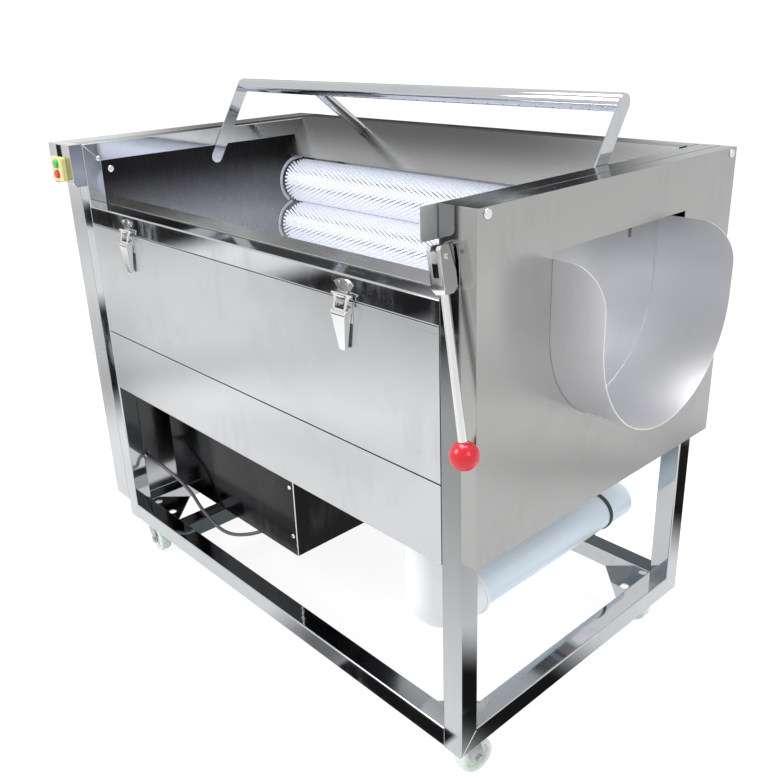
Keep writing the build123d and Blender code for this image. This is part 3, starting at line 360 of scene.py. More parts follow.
class Nodes:
    """A small helper that adds and links shader nodes in one tree."""

    def __init__(self, tree: Tree) -> None:
        """Starts on a tree.

        Args:
            tree: The material's, world's or group's node tree.
        """
        self.tree = tree

    def add(self, kind: str, **values: object) -> Node:
        """Adds a node and sets its properties.

        Args:
            kind: Type of the node.
            values: Its properties by name.

        Returns:
            The node.
        """
        node = self.tree.nodes.new(kind)
        for name, value in values.items():
            setattr(node, name, value)
        return node

    def link(self, source: Socket, target: Socket) -> None:
        """Joins two sockets."""
        self.tree.links.new(source, target)

    def fill(self, node: Node, **values: object) -> Node:
        """Sets a node's inputs.

        Args:
            node: The node.
            values: A socket or a plain value for each input; underscores stand for spaces.

        Returns:
            The same node.
        """
        for name, value in values.items():
            socket = node.inputs[name.replace("_", " ")]
            if isinstance(value, Socket):
                self.link(value, socket)
            else:
                socket.default_value = value
        return node

    def emission(self, colour: Colour, strength: float = 1.0) -> Node:
        """Adds a glowing shader of a colour."""
        return self.fill(self.add("ShaderNodeEmission"), Color=(*colour, 1), Strength=strength)

    def mix_into(self, target: Socket, factor: Socket,
                 first: Node, second: Node) -> None:
        """Mixes two shaders by a factor and links the result to a target.

        Args:
            target: The socket that takes the mix.
            factor: Share of the second shader.
            first: The first shader.
            second: The second shader.
        """
        mix = self.add("ShaderNodeMixShader")
        for index, source in enumerate((factor, first.outputs[0], second.outputs[0])):
            self.link(source, mix.inputs[index])
        self.link(mix.outputs[0], target)

    def math(self, operation: str, first: object, second: object = 0.0) -> Socket:
        """Adds a math node and returns its output; each operand is a socket or a number."""
        node = self.add("ShaderNodeMath", operation=operation)
        for index, operand in enumerate((first, second)):
            if isinstance(operand, Socket):
                self.link(operand, node.inputs[index])
            else:
                node.inputs[index].default_value = operand
        return node.outputs[0]

    def span(self, value: Socket, low: float, high: float,
             to_low: float = 0.0, to_high: float = 1.0) -> Socket:
        """Maps a value smoothly from one range on to another and returns the socket."""
        node = self.add("ShaderNodeMapRange", interpolation_type="SMOOTHSTEP")
        self.fill(node, Value=value, From_Min=low, From_Max=high, To_Min=to_low, To_Max=to_high)
        return node.outputs["Result"]

    def tint(self, factor: Socket, first: Colour, second: Colour) -> Socket:
        """Mixes two colours by a factor and returns the result's socket."""
        node = self.add("ShaderNodeMix", data_type="RGBA")
        self.link(factor, node.inputs["Factor"])
        node.inputs[6].default_value = (*first, 1)
        node.inputs[7].default_value = (*second, 1)
        return node.outputs[2]

    def paint_reflection_by_height(self, colour: Socket, painted_reflection: "Fade") -> Socket:
        """Multiplies a colour by a share that changes with the height, as a painted reflection, and returns
        the socket.
        """
        place = self.add("ShaderNodeTexCoord")
        split = self.add("ShaderNodeSeparateXYZ")
        self.link(place.outputs["Object"], split.inputs[0])
        share = self.span(split.outputs["Z"], painted_reflection.low, painted_reflection.high, painted_reflection.low_share, painted_reflection.high_share)
        scaled = self.add("ShaderNodeVectorMath", operation="SCALE")
        self.link(colour, scaled.inputs[0])
        self.link(share, scaled.inputs["Scale"])
        return scaled.outputs[0]


def new_group(name: str, inputs: dict[str, float],
              outputs: Sequence[str]) -> tuple[Nodes, Node, Node]:
    """Makes an empty shader node group with float sockets.

    Args:
        name: Name of the group.
        inputs: Input sockets and their default values.
        outputs: Output sockets.

    Returns:
        The helper on the group's tree, its input node and its output node.
    """
    tree = bpy.data.node_groups.new(name, "ShaderNodeTree")
    for socket, value in inputs.items():
        made = tree.interface.new_socket(name=socket, in_out="INPUT", socket_type="NodeSocketFloat")
        made.default_value = value
    for socket in outputs:
        tree.interface.new_socket(name=socket, in_out="OUTPUT", socket_type="NodeSocketFloat")
    return Nodes(tree), tree.nodes.new("NodeGroupInput"), tree.nodes.new("NodeGroupOutput")


def object_noise(nodes: Nodes, stretch: Point, scale: object, detail: float) -> Socket:
    """Noise on object coordinates.

    Args:
        nodes: The tree that it goes in.
        stretch: Scale of the pattern along each axis.
        scale: Socket or number with the pattern's scale.
        detail: Detail of the noise.

    Returns:
        The socket of the noise's value, 0 to 1.
    """
    place = nodes.add("ShaderNodeTexCoord")
    mapping = nodes.fill(nodes.add("ShaderNodeMapping"), Vector=place.outputs["Object"], Scale=stretch)
    noise = nodes.add("ShaderNodeTexNoise")
    nodes.fill(noise, Vector=mapping.outputs["Vector"], Scale=scale, Detail=detail)
    return noise.outputs["Fac"]


class Effects:
    """Node groups that more than one finish uses, each built once."""

    broad_span = (0.42, 0.72)
    fine_span = (0.3, 0.75)
    fine_scale = 7.0
    fine_stretch = (1.0, 1.0, 0.35)
    scuff_span = (0.6, 0.78)

    def __init__(self) -> None:
        """Builds the groups."""
        self.smudges = self._smudges()
        self.wear = self._wear()
        self.sheet = {along: self._sheet(along) for along in Along}

    def _smudges(self) -> Tree:
        """Wiped smears and hand marks as a mask from 0 to 1."""
        nodes, entry, leave = new_group("smudges", {"Scale": 9.0}, ["Mask"])
        broad = object_noise(nodes, EVEN, entry.outputs["Scale"], 3.0)
        fine_scale = nodes.math("MULTIPLY", entry.outputs["Scale"], self.fine_scale)
        fine = object_noise(nodes, self.fine_stretch, fine_scale, 4.0)
        wide = nodes.span(broad, *self.broad_span)
        narrow = nodes.span(fine, *self.fine_span)
        nodes.link(nodes.math("MULTIPLY", wide, narrow), leave.inputs["Mask"])
        return nodes.tree

    def _wear(self) -> Tree:
        """Small scuffs and specks as a mask from 0 to 1."""
        nodes, entry, leave = new_group("scuffs", {"Scale": 60.0, "Amount": 0.2}, ["Mask"])
        spots = object_noise(nodes, EVEN, entry.outputs["Scale"], 5.0)
        mask = nodes.math("MULTIPLY", nodes.span(spots, *self.scuff_span), entry.outputs["Amount"])
        nodes.link(mask, leave.inputs["Mask"])
        return nodes.tree

    def _sheet(self, along: Along) -> Tree:
        """Surface of rolled sheet: slow waves, and fine lines along the grain, as a height in metres."""
        inputs = {"Wave size": 4.0, "Wave height": 0.0001, "Grain size": 900.0, "Grain height": 0.000001}
        nodes, entry, leave = new_group(f"sheet_{along.name.lower()}", inputs, ["Height", "Grain"])
        wave = object_noise(nodes, EVEN, entry.outputs["Wave size"], 1.0)
        grain = object_noise(nodes, along.value, entry.outputs["Grain size"], 2.0)
        high = nodes.math("MULTIPLY", wave, entry.outputs["Wave height"])
        low = nodes.math("MULTIPLY", grain, entry.outputs["Grain height"])
        nodes.link(nodes.math("ADD", high, low), leave.inputs["Height"])
        nodes.link(grain, leave.inputs["Grain"])
        return nodes.tree


EFFECTS = Effects()


def start_material(name: str) -> tuple[bpy.types.Material, Nodes, Node]:
    """Makes a material with a Principled shader.

    Args:
        name: Name of the material.

    Returns:
        The material, the helper on its tree and its Principled node.
    """
    material = bpy.data.materials.new(name)
    material.use_nodes = True
    return material, Nodes(material.node_tree), material.node_tree.nodes["Principled BSDF"]


def place_group(nodes: Nodes, tree: Tree, **values: float) -> Node:
    """Places a node group and sets its inputs; underscores in a name stand for spaces."""
    return nodes.fill(nodes.add("ShaderNodeGroup", node_tree=tree), **values)


def bump(nodes: Nodes, shader: Node, height: Socket,
         distance: float = 1.0) -> None:
    """Bumps a shader by a height.

    Args:
        nodes: The helper on the material's tree.
        shader: The Principled node.
        height: The height, in units of the distance.
        distance: Metres that a height of 1 stands for.
    """
    node = nodes.fill(nodes.add("ShaderNodeBump"), Distance=distance, Height=height)
    nodes.link(node.outputs["Normal"], shader.inputs["Normal"])


# Finishes


@dataclass(frozen=True)
class Fade:
    """Steady change of a finish's brightness between two heights: a painted reflection of dark surroundings
    in the steel.
    """

    low: float
    high: float
    low_share: float = 1.0
    high_share: float = 1.0


@dataclass(frozen=True)
class SteelFinish:
    """Stainless, zinc-plated or oiled steel."""

    name: str
    slot: Slot
    colour: Colour
    dull: Colour
    roughness: float
    smudge: float = 0.08
    smudge_size: float = 9.0
    wave_height: float = 0.00012
    wave_size: float = 4.0
    grain: Along = Along.NONE
    grain_height: float = 0.0
    grain_size: float = 700.0
    scuffs: float = 0.1
    scuff_size: float = 90.0
    scuff_roughness: float = 0.3
    grain_roughness: float = 0.12
    smudge_share: float = 0.6
    # Painted reflection: the colour darkens with height where this is set.
    painted_reflection: Fade | None = None

    def material(self) -> bpy.types.Material:
        """Builds the node material.

        Returns:
            The material, with smudges, scuffs, sheet waves, grain and, where set, a painted reflection that
            darkens with height.
        """
        made, nodes, shader = start_material(self.name)
        smudges = place_group(nodes, EFFECTS.smudges, Scale=self.smudge_size).outputs["Mask"]
        scuffs = place_group(nodes, EFFECTS.wear, Scale=self.scuff_size, Amount=self.scuffs).outputs[0]
        sheet = place_group(
            nodes, EFFECTS.sheet[self.grain], Wave_size=self.wave_size, Wave_height=self.wave_height,
            Grain_size=self.grain_size, Grain_height=self.grain_height)
        rough = nodes.math("MULTIPLY", smudges, self.smudge)
        grain_share = self.grain_roughness if self.grain_height else 0.0
        lined = nodes.math("MULTIPLY", sheet.outputs["Grain"], grain_share)
        total = nodes.math("ADD", nodes.math("ADD", rough, lined), self.roughness)
        scuffed = nodes.math("ADD", total, nodes.math("MULTIPLY", scuffs, self.scuff_roughness))
        marks = nodes.math("MAXIMUM", nodes.math("MULTIPLY", smudges, self.smudge_share), scuffs)
        colour = nodes.tint(marks, self.colour, self.dull)
        # Painted reflection: darkens the colour with height.
        if self.painted_reflection:
            colour = nodes.paint_reflection_by_height(colour, self.painted_reflection)
        nodes.fill(shader, Metallic=1.0, Roughness=scuffed, Base_Color=colour)
        bump(nodes, shader, sheet.outputs["Height"])
        return made


@dataclass(frozen=True)
class PlasticFinish:
    """Moulded plastic, rubber or paint."""

    name: str
    slot: Slot
    colour: Colour
    worn: Colour
    roughness: float
    coat: float = 0.0
    translucence: float = 0.0
    # Painted light: emission in the part's own colour that lightens its shaded side; the part is no lamp.
    painted_glow: float = 0.0
    texture_height: float = 0.00002
    texture_size: float = 900.0
    mottle: float = 0.25
    mottle_size: float = 14.0
    scuffs: float = 0.4
    scuff_size: float = 120.0
    mark_roughness: float = 0.25
    coat_roughness: float = 0.06
    scatter_radius: float = 0.02
    scatter_scale: float = 0.3

    def material(self) -> bpy.types.Material:
        """Builds the node material.

        Returns:
            The material, with colour variation, scuffs and a moulded texture.
        """
        made, nodes, shader = start_material(self.name)
        nodes.fill(shader, Coat_Weight=self.coat, Coat_Roughness=self.coat_roughness)
        if self.translucence:
            nodes.fill(shader, Subsurface_Weight=self.translucence, Subsurface_Scale=self.scatter_scale,
                       Subsurface_Radius=[self.scatter_radius] * 3)
        # Painted light: the part glows in its own colour.
        if self.painted_glow:
            nodes.fill(shader, Emission_Color=(*self.colour, 1), Emission_Strength=self.painted_glow)
        smudges = place_group(nodes, EFFECTS.smudges, Scale=self.mottle_size).outputs["Mask"]
        scuffs = place_group(nodes, EFFECTS.wear, Scale=self.scuff_size, Amount=self.scuffs).outputs[0]
        marks = nodes.math("MAXIMUM", nodes.math("MULTIPLY", smudges, self.mottle), scuffs)
        rough = nodes.math("ADD", nodes.math("MULTIPLY", marks, self.mark_roughness), self.roughness)
        nodes.fill(shader, Base_Color=nodes.tint(marks, self.colour, self.worn), Roughness=rough)
        grain = object_noise(nodes, EVEN, self.texture_size, 3.0)
        bump(nodes, shader, grain, self.texture_height)
        return made


Finish = SteelFinish | PlasticFinish


class Finishes:
    """Every finish of the machine, each material made once."""

    polished = SteelFinish(
        "polished_stainless", Slot.POLISHED, (0.52, 0.535, 0.55), (0.44, 0.455, 0.47), 0.05, smudge=0.1,
        wave_height=0.0002, wave_size=5.0)
    # Painted reflection: the right front post darkens towards its top.
    post = SteelFinish(
        "polished_stainless_post", Slot.POLISHED, (0.52, 0.53, 0.535), (0.44, 0.45, 0.455), 0.05, smudge=0.1,
        wave_height=0.0002, wave_size=5.0, painted_reflection=Fade(0.12, 0.62, 1.0, 0.45))
    # Painted reflection: a darker copy of the polished steel for faces that would mirror the dark room
    # behind the machine.
    painted_dark_polish = SteelFinish(
        "polished_stainless_painted_dark", Slot.POLISHED, (0.07, 0.085, 0.09), (0.12, 0.14, 0.145), 0.1,
        smudge=0.12, smudge_size=5.0, wave_height=0.0003, wave_size=6.0)
    # Painted reflection: polished stainless coloured near black, standing in for the dark surroundings that
    # the drive box mirrors.
    painted_dark_mirror = SteelFinish(
        "dark_mirror_stainless", Slot.POLISHED, (0.012, 0.012, 0.012), (0.05, 0.05, 0.05), 0.12, smudge=0.12,
        wave_height=0.0002, wave_size=4.0)
    satin = SteelFinish(
        "satin_stainless", Slot.SATIN, (0.54, 0.545, 0.55), (0.48, 0.485, 0.49), 0.17, smudge=0.03,
        wave_height=0.00012, wave_size=2.2, grain=Along.X, grain_height=0.0000006)
    # Painted shade: a darker copy of the satin steel for the right casing and the right bearing plate.
    satin_shaded_end = SteelFinish(
        "satin_stainless_end_painted_shade", Slot.SATIN, (0.37, 0.37, 0.362), (0.33, 0.33, 0.322), 0.17, smudge=0.03,
        wave_height=0.00012, wave_size=2.2, grain=Along.Y, grain_height=0.0000006)
    # Painted light: a lighter copy of the satin steel that brightens the chute's shaded hollow; the switch's
    # right cheek shares it.
    chute = SteelFinish(
        "chute_stainless", Slot.SATIN, (0.8, 0.8, 0.82), (0.72, 0.72, 0.74), 0.36, smudge=0.05,
        wave_height=0.0002, wave_size=3.0, grain=Along.X, grain_height=0.0000006)
    # Painted reflection: the gate flap darkens towards its top.
    gate = SteelFinish(
        "gate_stainless", Slot.SATIN, (0.6, 0.61, 0.63), (0.5, 0.51, 0.53), 0.2, smudge=0.06,
        wave_height=0.0002, wave_size=6.0, painted_reflection=Fade(0.76, 0.88, 1.0, 0.5))
    # Painted reflection: the rear baffle is darker than the satin steel and darker still towards its top
    # edge.
    baffle = SteelFinish(
        "baffle_stainless", Slot.SATIN, (0.45, 0.455, 0.45), (0.4, 0.41, 0.41), 0.24, smudge=0.03,
        wave_height=0.0001, wave_size=2.0, painted_reflection=Fade(0.84, 0.955, 1.0, 0.22))
    # Painted reflection: the left tub plate is darker than the satin steel and near black towards its top.
    tub_plate = SteelFinish(
        "tub_end_stainless", Slot.SATIN, (0.34, 0.335, 0.33), (0.36, 0.355, 0.35), 0.2, smudge=0.05,
        wave_height=0.0002, wave_size=3.0, grain=Along.Z, grain_height=0.000001,
        painted_reflection=Fade(0.7, 0.9, 1.0, 0.05))
    bright = SteelFinish(
        "bright_stainless", Slot.SATIN, (0.72, 0.72, 0.72), (0.58, 0.58, 0.57), 0.1, smudge=0.12,
        wave_height=0.00012, wave_size=30.0)
    zinc = SteelFinish(
        "zinc_plated_steel", Slot.ZINC, (0.5, 0.51, 0.5), (0.35, 0.36, 0.35), 0.28, smudge=0.15,
        smudge_size=40.0, wave_height=0.00003, wave_size=60.0, scuffs=0.3)
    chain = SteelFinish(
        "oiled_chain_steel", Slot.CHAIN, (0.3, 0.29, 0.28), (0.12, 0.11, 0.1), 0.35, smudge=0.2,
        smudge_size=60.0, scuffs=0.4)
    # Painted light: the bristles glow to lighten the shade among the tufts.
    nylon = PlasticFinish(
        "white_nylon_bristle", Slot.NYLON, (0.87, 0.89, 0.95), (0.8, 0.83, 0.91), 0.38, painted_glow=0.2, mottle=0.3,
        mottle_size=25.0)
    # Painted shade: the core is near black, darker than its white nylon, for the shade in the gaps between
    # the tufts.
    core = PlasticFinish(
        "roller_core_painted_shade", Slot.NYLON, (0.1, 0.11, 0.15), (0.08, 0.09, 0.12), 0.5)
    ball = PlasticFinish(
        "red_phenolic", Slot.RED, (0.6, 0.003, 0.014), (0.5, 0.006, 0.02), 0.22, coat=0.2,
        texture_height=0.00001, texture_size=60.0)
    stop = PlasticFinish("red_button", Slot.RED, (0.62, 0.02, 0.02), (0.5, 0.03, 0.03), 0.25)
    start = PlasticFinish("green_button", Slot.GREEN, (0.03, 0.42, 0.11), (0.03, 0.3, 0.1), 0.25)
    switch = PlasticFinish("yellow_switch_box", Slot.YELLOW, (0.66, 0.6, 0.26), (0.5, 0.48, 0.25), 0.35)
    elbow = PlasticFinish(
        "white_pvc_elbow", Slot.PVC, (0.86, 0.88, 0.89), (0.78, 0.82, 0.84), 0.3, coat=0.2, translucence=0.3)
    # Painted light: the pipe glows to lighten its shaded underside.
    pvc = PlasticFinish(
        "white_pvc_pipe", Slot.PVC, (0.6, 0.68, 0.75), (0.54, 0.62, 0.69), 0.3, coat=0.15,
        translucence=0.1, painted_glow=0.14)
    strap = PlasticFinish("black_strap", Slot.STRAP, (0.012, 0.035, 0.022), (0.03, 0.08, 0.05), 0.5)
    wheel = PlasticFinish(
        "wheel_plastic", Slot.WHEEL, (0.72, 0.8, 0.73), (0.55, 0.61, 0.54), 0.25, coat=0.3,
        translucence=0.35, mottle=0.5, mottle_size=50.0)
    hub = PlasticFinish("wheel_hub_plastic", Slot.WHEEL, (0.6, 0.5, 0.12), (0.45, 0.38, 0.12), 0.35)
    # Painted light: the motor paint is set lighter than its own tone to offset the shade inside the drive
    # box.
    paint = PlasticFinish("motor_paint", Slot.PAINT, (0.3, 0.28, 0.33), (0.22, 0.2, 0.24), 0.4)
    casting = PlasticFinish(
        "bearing_casting", Slot.CASTING, (0.16, 0.18, 0.2), (0.1, 0.11, 0.12), 0.55, texture_height=0.0003,
        texture_size=400.0)
    cable = PlasticFinish("grey_cable_sheath", Slot.CABLE, (0.1, 0.1, 0.11), (0.2, 0.2, 0.2), 0.4)

    def __init__(self) -> None:
        """Starts with no material made."""
        self._made: dict[str, bpy.types.Material] = {}

    def _made_once(self, finish: Finish) -> bpy.types.Material:
        """The material of a finish, made the first time it is asked for."""
        if finish.name not in self._made:
            self._made[finish.name] = finish.material()
        return self._made[finish.name]

    def dress(self, piece: Piece, finish: Finish) -> Piece:
        """Gives a piece a finish.

        Args:
            piece: The mesh or curve.
            finish: The finish it takes.

        Returns:
            The same piece.
        """
        piece.data.materials.clear()
        piece.data.materials.append(self._made_once(finish))
        return piece

    def dress_where(self, piece: Piece, finish: Finish, wanted: FaceTest) -> None:
        """Gives some faces of a dressed piece a second finish.

        Args:
            piece: The mesh.
            finish: The finish of the faces.
            wanted: Test of a face.
        """
        piece.data.materials.append(self._made_once(finish))
        for face in piece.data.polygons:
            if wanted(face):
                face.material_index = 1


FINISHES = Finishes()


# Studio


@dataclass
class Lamp:
    """A soft square lamp."""

    name: str
    place: Point
    size: float
    power: float


@dataclass
class Card:
    """A black or bright reflector card with soft edges, seen only in the steel."""

    name: str
    centre: Point
    size: tuple[float, float]
    turn: float = 0.0
    upright: bool = False
    cover: float = 1.0
    soft: tuple[float, float] = (0.25, 0.25)
    tone: float = 0.015


@dataclass
class Studio:
    """Pale floor, white surround, soft lamps, reflector cards and the camera of the photograph."""

    camera_place: Point = (1.235974, -1.099063, 1.172606)
    camera_right: Point = (0.67726048, 0.73491686, -0.03486331)
    camera_down: Point = (0.2483633, -0.27296826, -0.92941056)
    camera_forward: Point = (-0.69255608, 0.62079427, -0.36739699)
    camera_sensor: float = 36.0
    camera_lens: float = 40.816
    camera_shift: tuple[float, float] = (0.01195, -0.0269)
    world_strength: float = 0.85
    world_colour: Colour = (0.97, 0.985, 1.0)
    floor_size: float = 60.0
    floor_colour: Colour = (0.82, 0.83, 0.84)
    floor_glow: float = 1.2
    floor_glow_share: float = 0.72
    sharpest: float = 0.01
    aim: Point = (0.0, 0.0, 0.5)
    lamps: tuple[Lamp, ...] = (
        Lamp("key_lamp", (-1.6, -3.0, 2.9), 1.6, 70.0),
        Lamp("fill_lamp", (3.2, -0.6, 2.4), 1.2, 14.0),
        Lamp("top_lamp", (-0.2, 0.1, 3.2), 1.8, 90.0),
    )
    cards: tuple[Card, ...] = (
        Card("card_front_rail", (0.27, -0.386, 0.002), (0.3, 0.036), soft=(0.1, 0.1)),
        Card("card_front_rail_left", (0.06, -0.386, 0.003), (0.4, 0.036), soft=(0.9, 0.1), cover=0.8),
        Card("card_end_rail", (0.585, -0.06, 0.003), (0.1, 0.5), soft=(0.1, 0.7)),
        Card("card_near_post", (0.665, -0.115, 0.004), (0.4, 0.11), 51.0, soft=(0.8, 0.2)),
        Card("card_rear_post", (0.82, 0.88, 0.004), (0.9, 0.12), 62.3, soft=(0.6, 0.2)),
        Card("card_end_low", (1.13, 0.72, 0.002), (0.6, 0.17), -43.0, soft=(0.5, 0.9), cover=0.8),
        Card("card_end_light", (1.42, 0.88, 0.003), (0.5, 0.14), -40.0, soft=(0.5, 0.9), tone=1.7),
        Card("card_end_mid", (1.62, 1.13, 0.002), (0.7, 0.24), -38.0, soft=(0.5, 0.9), cover=0.75),
        Card("card_end_far", (2.3, 1.85, 0.003), (1.8, 0.6), -40.0, soft=(0.5, 0.9), tone=1.7),
        Card("card_panel_dark", (-1.32, -1.3, 0.002), (1.5, 0.2), 124.5, soft=(0.5, 0.9), cover=0.85),
        Card("card_panel_light", (-0.9, -1.08, 0.003), (1.0, 0.18), -25.0, soft=(0.3, 0.9), tone=2.0),
        Card("card_panel_low", (-0.75, -0.97, 0.002), (0.9, 0.12), soft=(0.4, 0.9), cover=0.7),
        Card("card_left_post", (-1.96, -0.935, 0.004), (1.75, 0.12), 23.9, soft=(0.5, 0.2)),
        Card("card_rail_left", (-4.125, -2.12, 0.004), (2.35, 0.42), soft=(0.44, 0.1)),
        Card("card_rail_light", (-2.78, -2.12, 0.005), (0.9, 0.42), soft=(0.9, 0.1), tone=1.35),
        Card("card_rail_right", (-1.695, -2.12, 0.004), (1.59, 0.42), soft=(0.55, 0.1)),
        Card("card_post_top", (-2.1, -3.054, 0.004), (4.8, 0.14), 46.7, soft=(0.4, 0.1)),
        Card("card_back_low", (-3.29, 3.17, 1.75), (4.1, 1.6), 46.0, True, soft=(0.4, 0.35), cover=0.95),
    )

    def build(self) -> None:
        """Makes the camera first, then the surround, the floor, the lamps and the cards."""
        self._camera()
        self._surround()
        self._floor()
        self._lamps()
        for card in self.cards:
            self._card(card)

    def _camera(self) -> None:
        """Camera at the photograph's viewing angle."""
        data = bpy.data.cameras.new("photo_camera")
        data.sensor_width = self.camera_sensor
        data.lens = self.camera_lens
        data.shift_x, data.shift_y = self.camera_shift
        camera = placed("photo_camera", data)
        columns = (Vector(self.camera_right), -Vector(self.camera_down), -Vector(self.camera_forward))
        turn = Matrix([[column[row] for column in columns] for row in range(3)])
        camera.matrix_world = Matrix.Translation(Vector(self.camera_place)) @ turn.to_4x4()
        bpy.context.scene.camera = camera

    def _surround(self) -> None:
        """White surround for what the camera sees and the steel mirrors, softer for the light."""
        world = bpy.data.worlds.new("studio")
        bpy.context.scene.world = world
        world.use_nodes = True
        nodes = Nodes(world.node_tree)
        light = world.node_tree.nodes["Background"]
        nodes.fill(light, Color=(*self.world_colour, 1), Strength=self.world_strength)
        shown = nodes.fill(nodes.add("ShaderNodeBackground"), Color=(*WHITE, 1), Strength=1.0)
        surface = world.node_tree.nodes["World Output"].inputs["Surface"]
        nodes.mix_into(surface, self._seen(nodes), light, shown)

    @staticmethod
    def _seen(nodes: Nodes) -> Socket:
        """Factor that is 1 for camera, glossy and transmission rays."""
        path = nodes.add("ShaderNodeLightPath")
        seen = nodes.math("MAXIMUM", path.outputs["Is Camera Ray"], path.outputs["Is Glossy Ray"])
        return nodes.math("MAXIMUM", seen, path.outputs["Is Transmission Ray"])

    @staticmethod
    def _surface(plane: Piece) -> tuple[Nodes, Socket]:
        """Gives a stage plane a material of its own name.

        Args:
            plane: The plane.

        Returns:
            The helper on the material's tree and the socket that takes its surface.
        """
        material = bpy.data.materials.new(plane.name)
        material.use_nodes = True
        plane.data.materials.append(material)
        tree = material.node_tree
        return Nodes(tree), tree.nodes["Material Output"].inputs["Surface"]

    def _floor(self) -> None:
        """Plain pale floor that keeps the machine's shadow."""
        deselect_all()
        bpy.ops.mesh.primitive_plane_add(size=self.floor_size, location=(0, 0, 0))
        floor = bpy.context.active_object
        floor.name = "studio_floor"
        nodes, surface = self._surface(floor)
        matt = nodes.fill(nodes.add("ShaderNodeBsdfDiffuse"), Color=(*self.floor_colour, 1))
        share = nodes.math("MULTIPLY", self._seen(nodes), self.floor_glow_share)
        nodes.mix_into(surface, share, matt, nodes.emission(WHITE, self.floor_glow))

    def _lamps(self) -> None:
        """Soft key lamp at the front left, a fill at the right and a top light."""
        for lamp in self.lamps:
            data = bpy.data.lights.new(lamp.name, "AREA")
            data.shape = "SQUARE"
            data.size = lamp.size
            data.energy = lamp.power
            light = placed(lamp.name, data)
            light.location = lamp.place
            light.rotation_mode = "QUATERNION"
            light.rotation_quaternion = (Vector(self.aim) - Vector(lamp.place)).to_track_quat("-Z", "Y")

    def _card(self, card: Card) -> None:
        """Makes one card.

        Args:
            card: Its place, size, softness and tone.
        """
        deselect_all()
        bpy.ops.mesh.primitive_plane_add(size=1, location=card.centre)
        plane = bpy.context.active_object
        plane.name = card.name
        plane.scale = (*card.size, 1)
        plane.rotation_euler = (math.radians(90.0 if card.upright else 0.0), 0, math.radians(card.turn))
        nodes, surface = self._surface(plane)
        place = nodes.add("ShaderNodeTexCoord")
        split = nodes.add("ShaderNodeSeparateXYZ")
        nodes.link(place.outputs["Generated"], split.inputs[0])
        factor = None
        for axis, soft in enumerate(card.soft):
            value = split.outputs[axis]
            near = nodes.math("MINIMUM", value, nodes.math("SUBTRACT", 1.0, value))
            edge = nodes.span(near, 0.0, max(soft / 2, self.sharpest))
            factor = edge if factor is None else nodes.math("MULTIPLY", factor, edge)
        share = nodes.math("MULTIPLY", factor, card.cover)
        clear = nodes.add("ShaderNodeBsdfTransparent")
        nodes.mix_into(surface, share, clear, nodes.emission([card.tone] * 3))
        plane.visible_camera = False
        plane.visible_diffuse = False
        plane.visible_shadow = False
        plane.visible_transmission = False


# Sub-assemblies


class Rounding:
    """Widths of the rounding on the edges of different kinds of pieces."""

    none = 0.0
    wire = 0.0003
    plate = 0.0004
    strap = 0.0005
    fold = 0.0006
    case = 0.0008
    button = 0.0009
    clamp = 0.0012


@dataclass(frozen=True)
class Skins:
    """CAD nodes whose refined copies share a finish and a rounding."""

    finish: Finish
    rounding: float
    nodes: tuple[str, ...]

    def build(self) -> list[Piece]:
        """Makes the copies and returns them."""
        return [FINISHES.dress(refined(node, self.rounding), self.finish) for node in self.nodes]


@dataclass
class SubAssembly:
    """One named group of pieces that builds and dresses itself."""

    title: str
    skins: tuple[Skins, ...] = ()

    def build(self) -> None:
        """Builds the copies and the group's own pieces, and reports each one."""
        made = [piece for row in self.skins for piece in row.build()]
        for piece in made + self.own_pieces():
            LOG.info("%s: %s", self.title, piece.name)

    def own_pieces(self) -> list[Piece]:
        """Builds the pieces that aren't the copy of a CAD node.

        Returns:
            The finished pieces.
        """
        return []

    @staticmethod
    def shade(node: str, wanted: FaceTest) -> None:
        """Gives the faces of a node's copy that a test picks the darker polish, a painted reflection of the
        dark room behind the machine.
        """
        FINISHES.dress_where(bpy.data.objects[f"{node}_skin"], Finishes.painted_dark_polish, wanted)


@dataclass
class WeldedFrame(SubAssembly):
    """Frame of square stainless tube, with the ground weld seams at its mitred corners."""

    title: str = "frame"
    skins: tuple[Skins, ...] = (
        Skins(Finishes.polished, Rounding.none, (
            "front_left_post", "rear_posts", "base_end_rails", "base_rails", "top_end_rails",
            "top_long_rails")),
        Skins(Finishes.post, Rounding.none, ("front_right_post",)),
    )
    tube: float = 0.038
    rear_half: float = 0.2
    seam_radius: float = 0.0007
    seam_inset: float = 0.0028
    seam_sides: int = 8

    def own_pieces(self) -> list[Piece]:
        """Paints a dark reflection into the faces that would mirror the dark room behind the machine, and
        adds the weld seams.
        """
        self.shade("top_end_rails", looks_up)
        self.shade("top_long_rails", self._is_shaded_top)
        self.shade("base_rails", self._is_shaded_base)
        return [self._seams()]

    @staticmethod
    def _is_shaded_top(face: Face) -> bool:
        """Tells the top and the inner side of the rear rail."""
        return face.center.y > 0 and (looks_up(face) or face.normal.y < -FACING_SHARE)

    def _is_shaded_base(self, face: Face) -> bool:
        """Tells the top of the rear rail and the motor rail's right side."""
        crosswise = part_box("front_left_post")[1].x < face.center.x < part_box("drive_box")[1].x
        rear = face.center.y > self.rear_half
        return (rear and looks_up(face)) or (crosswise and face.normal.x > FACING_SHARE)

    def _seams(self) -> Piece:
        """Ground weld lines across the mitres, on both outer faces of the two end frames."""
        low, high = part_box("rear_posts")
        y_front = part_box("front_left_post")[0].y
        lines = []
        for x_face in (high.x, high.x - self.tube, low.x + self.tube):
            for y_out, y_in in ((y_front, y_front + self.tube), (high.y, high.y - self.tube)):
                for z_out, z_in in ((low.z, low.z + self.tube), (high.z, high.z - self.tube)):
                    inset_y = math.copysign(self.seam_inset, y_in - y_out)
                    inset_z = math.copysign(self.seam_inset, z_in - z_out)
                    start = (x_face, y_out + inset_y, z_out + inset_z)
                    end = (x_face, y_in - inset_y, z_in - inset_z)
                    lines.append(lathe_rod("weld_line", start, end, self.seam_radius, self.seam_sides))
        seams = join(lines, "frame_weld_seams")
        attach(seams, "frame")
        return FINISHES.dress(seams, Finishes.bright)


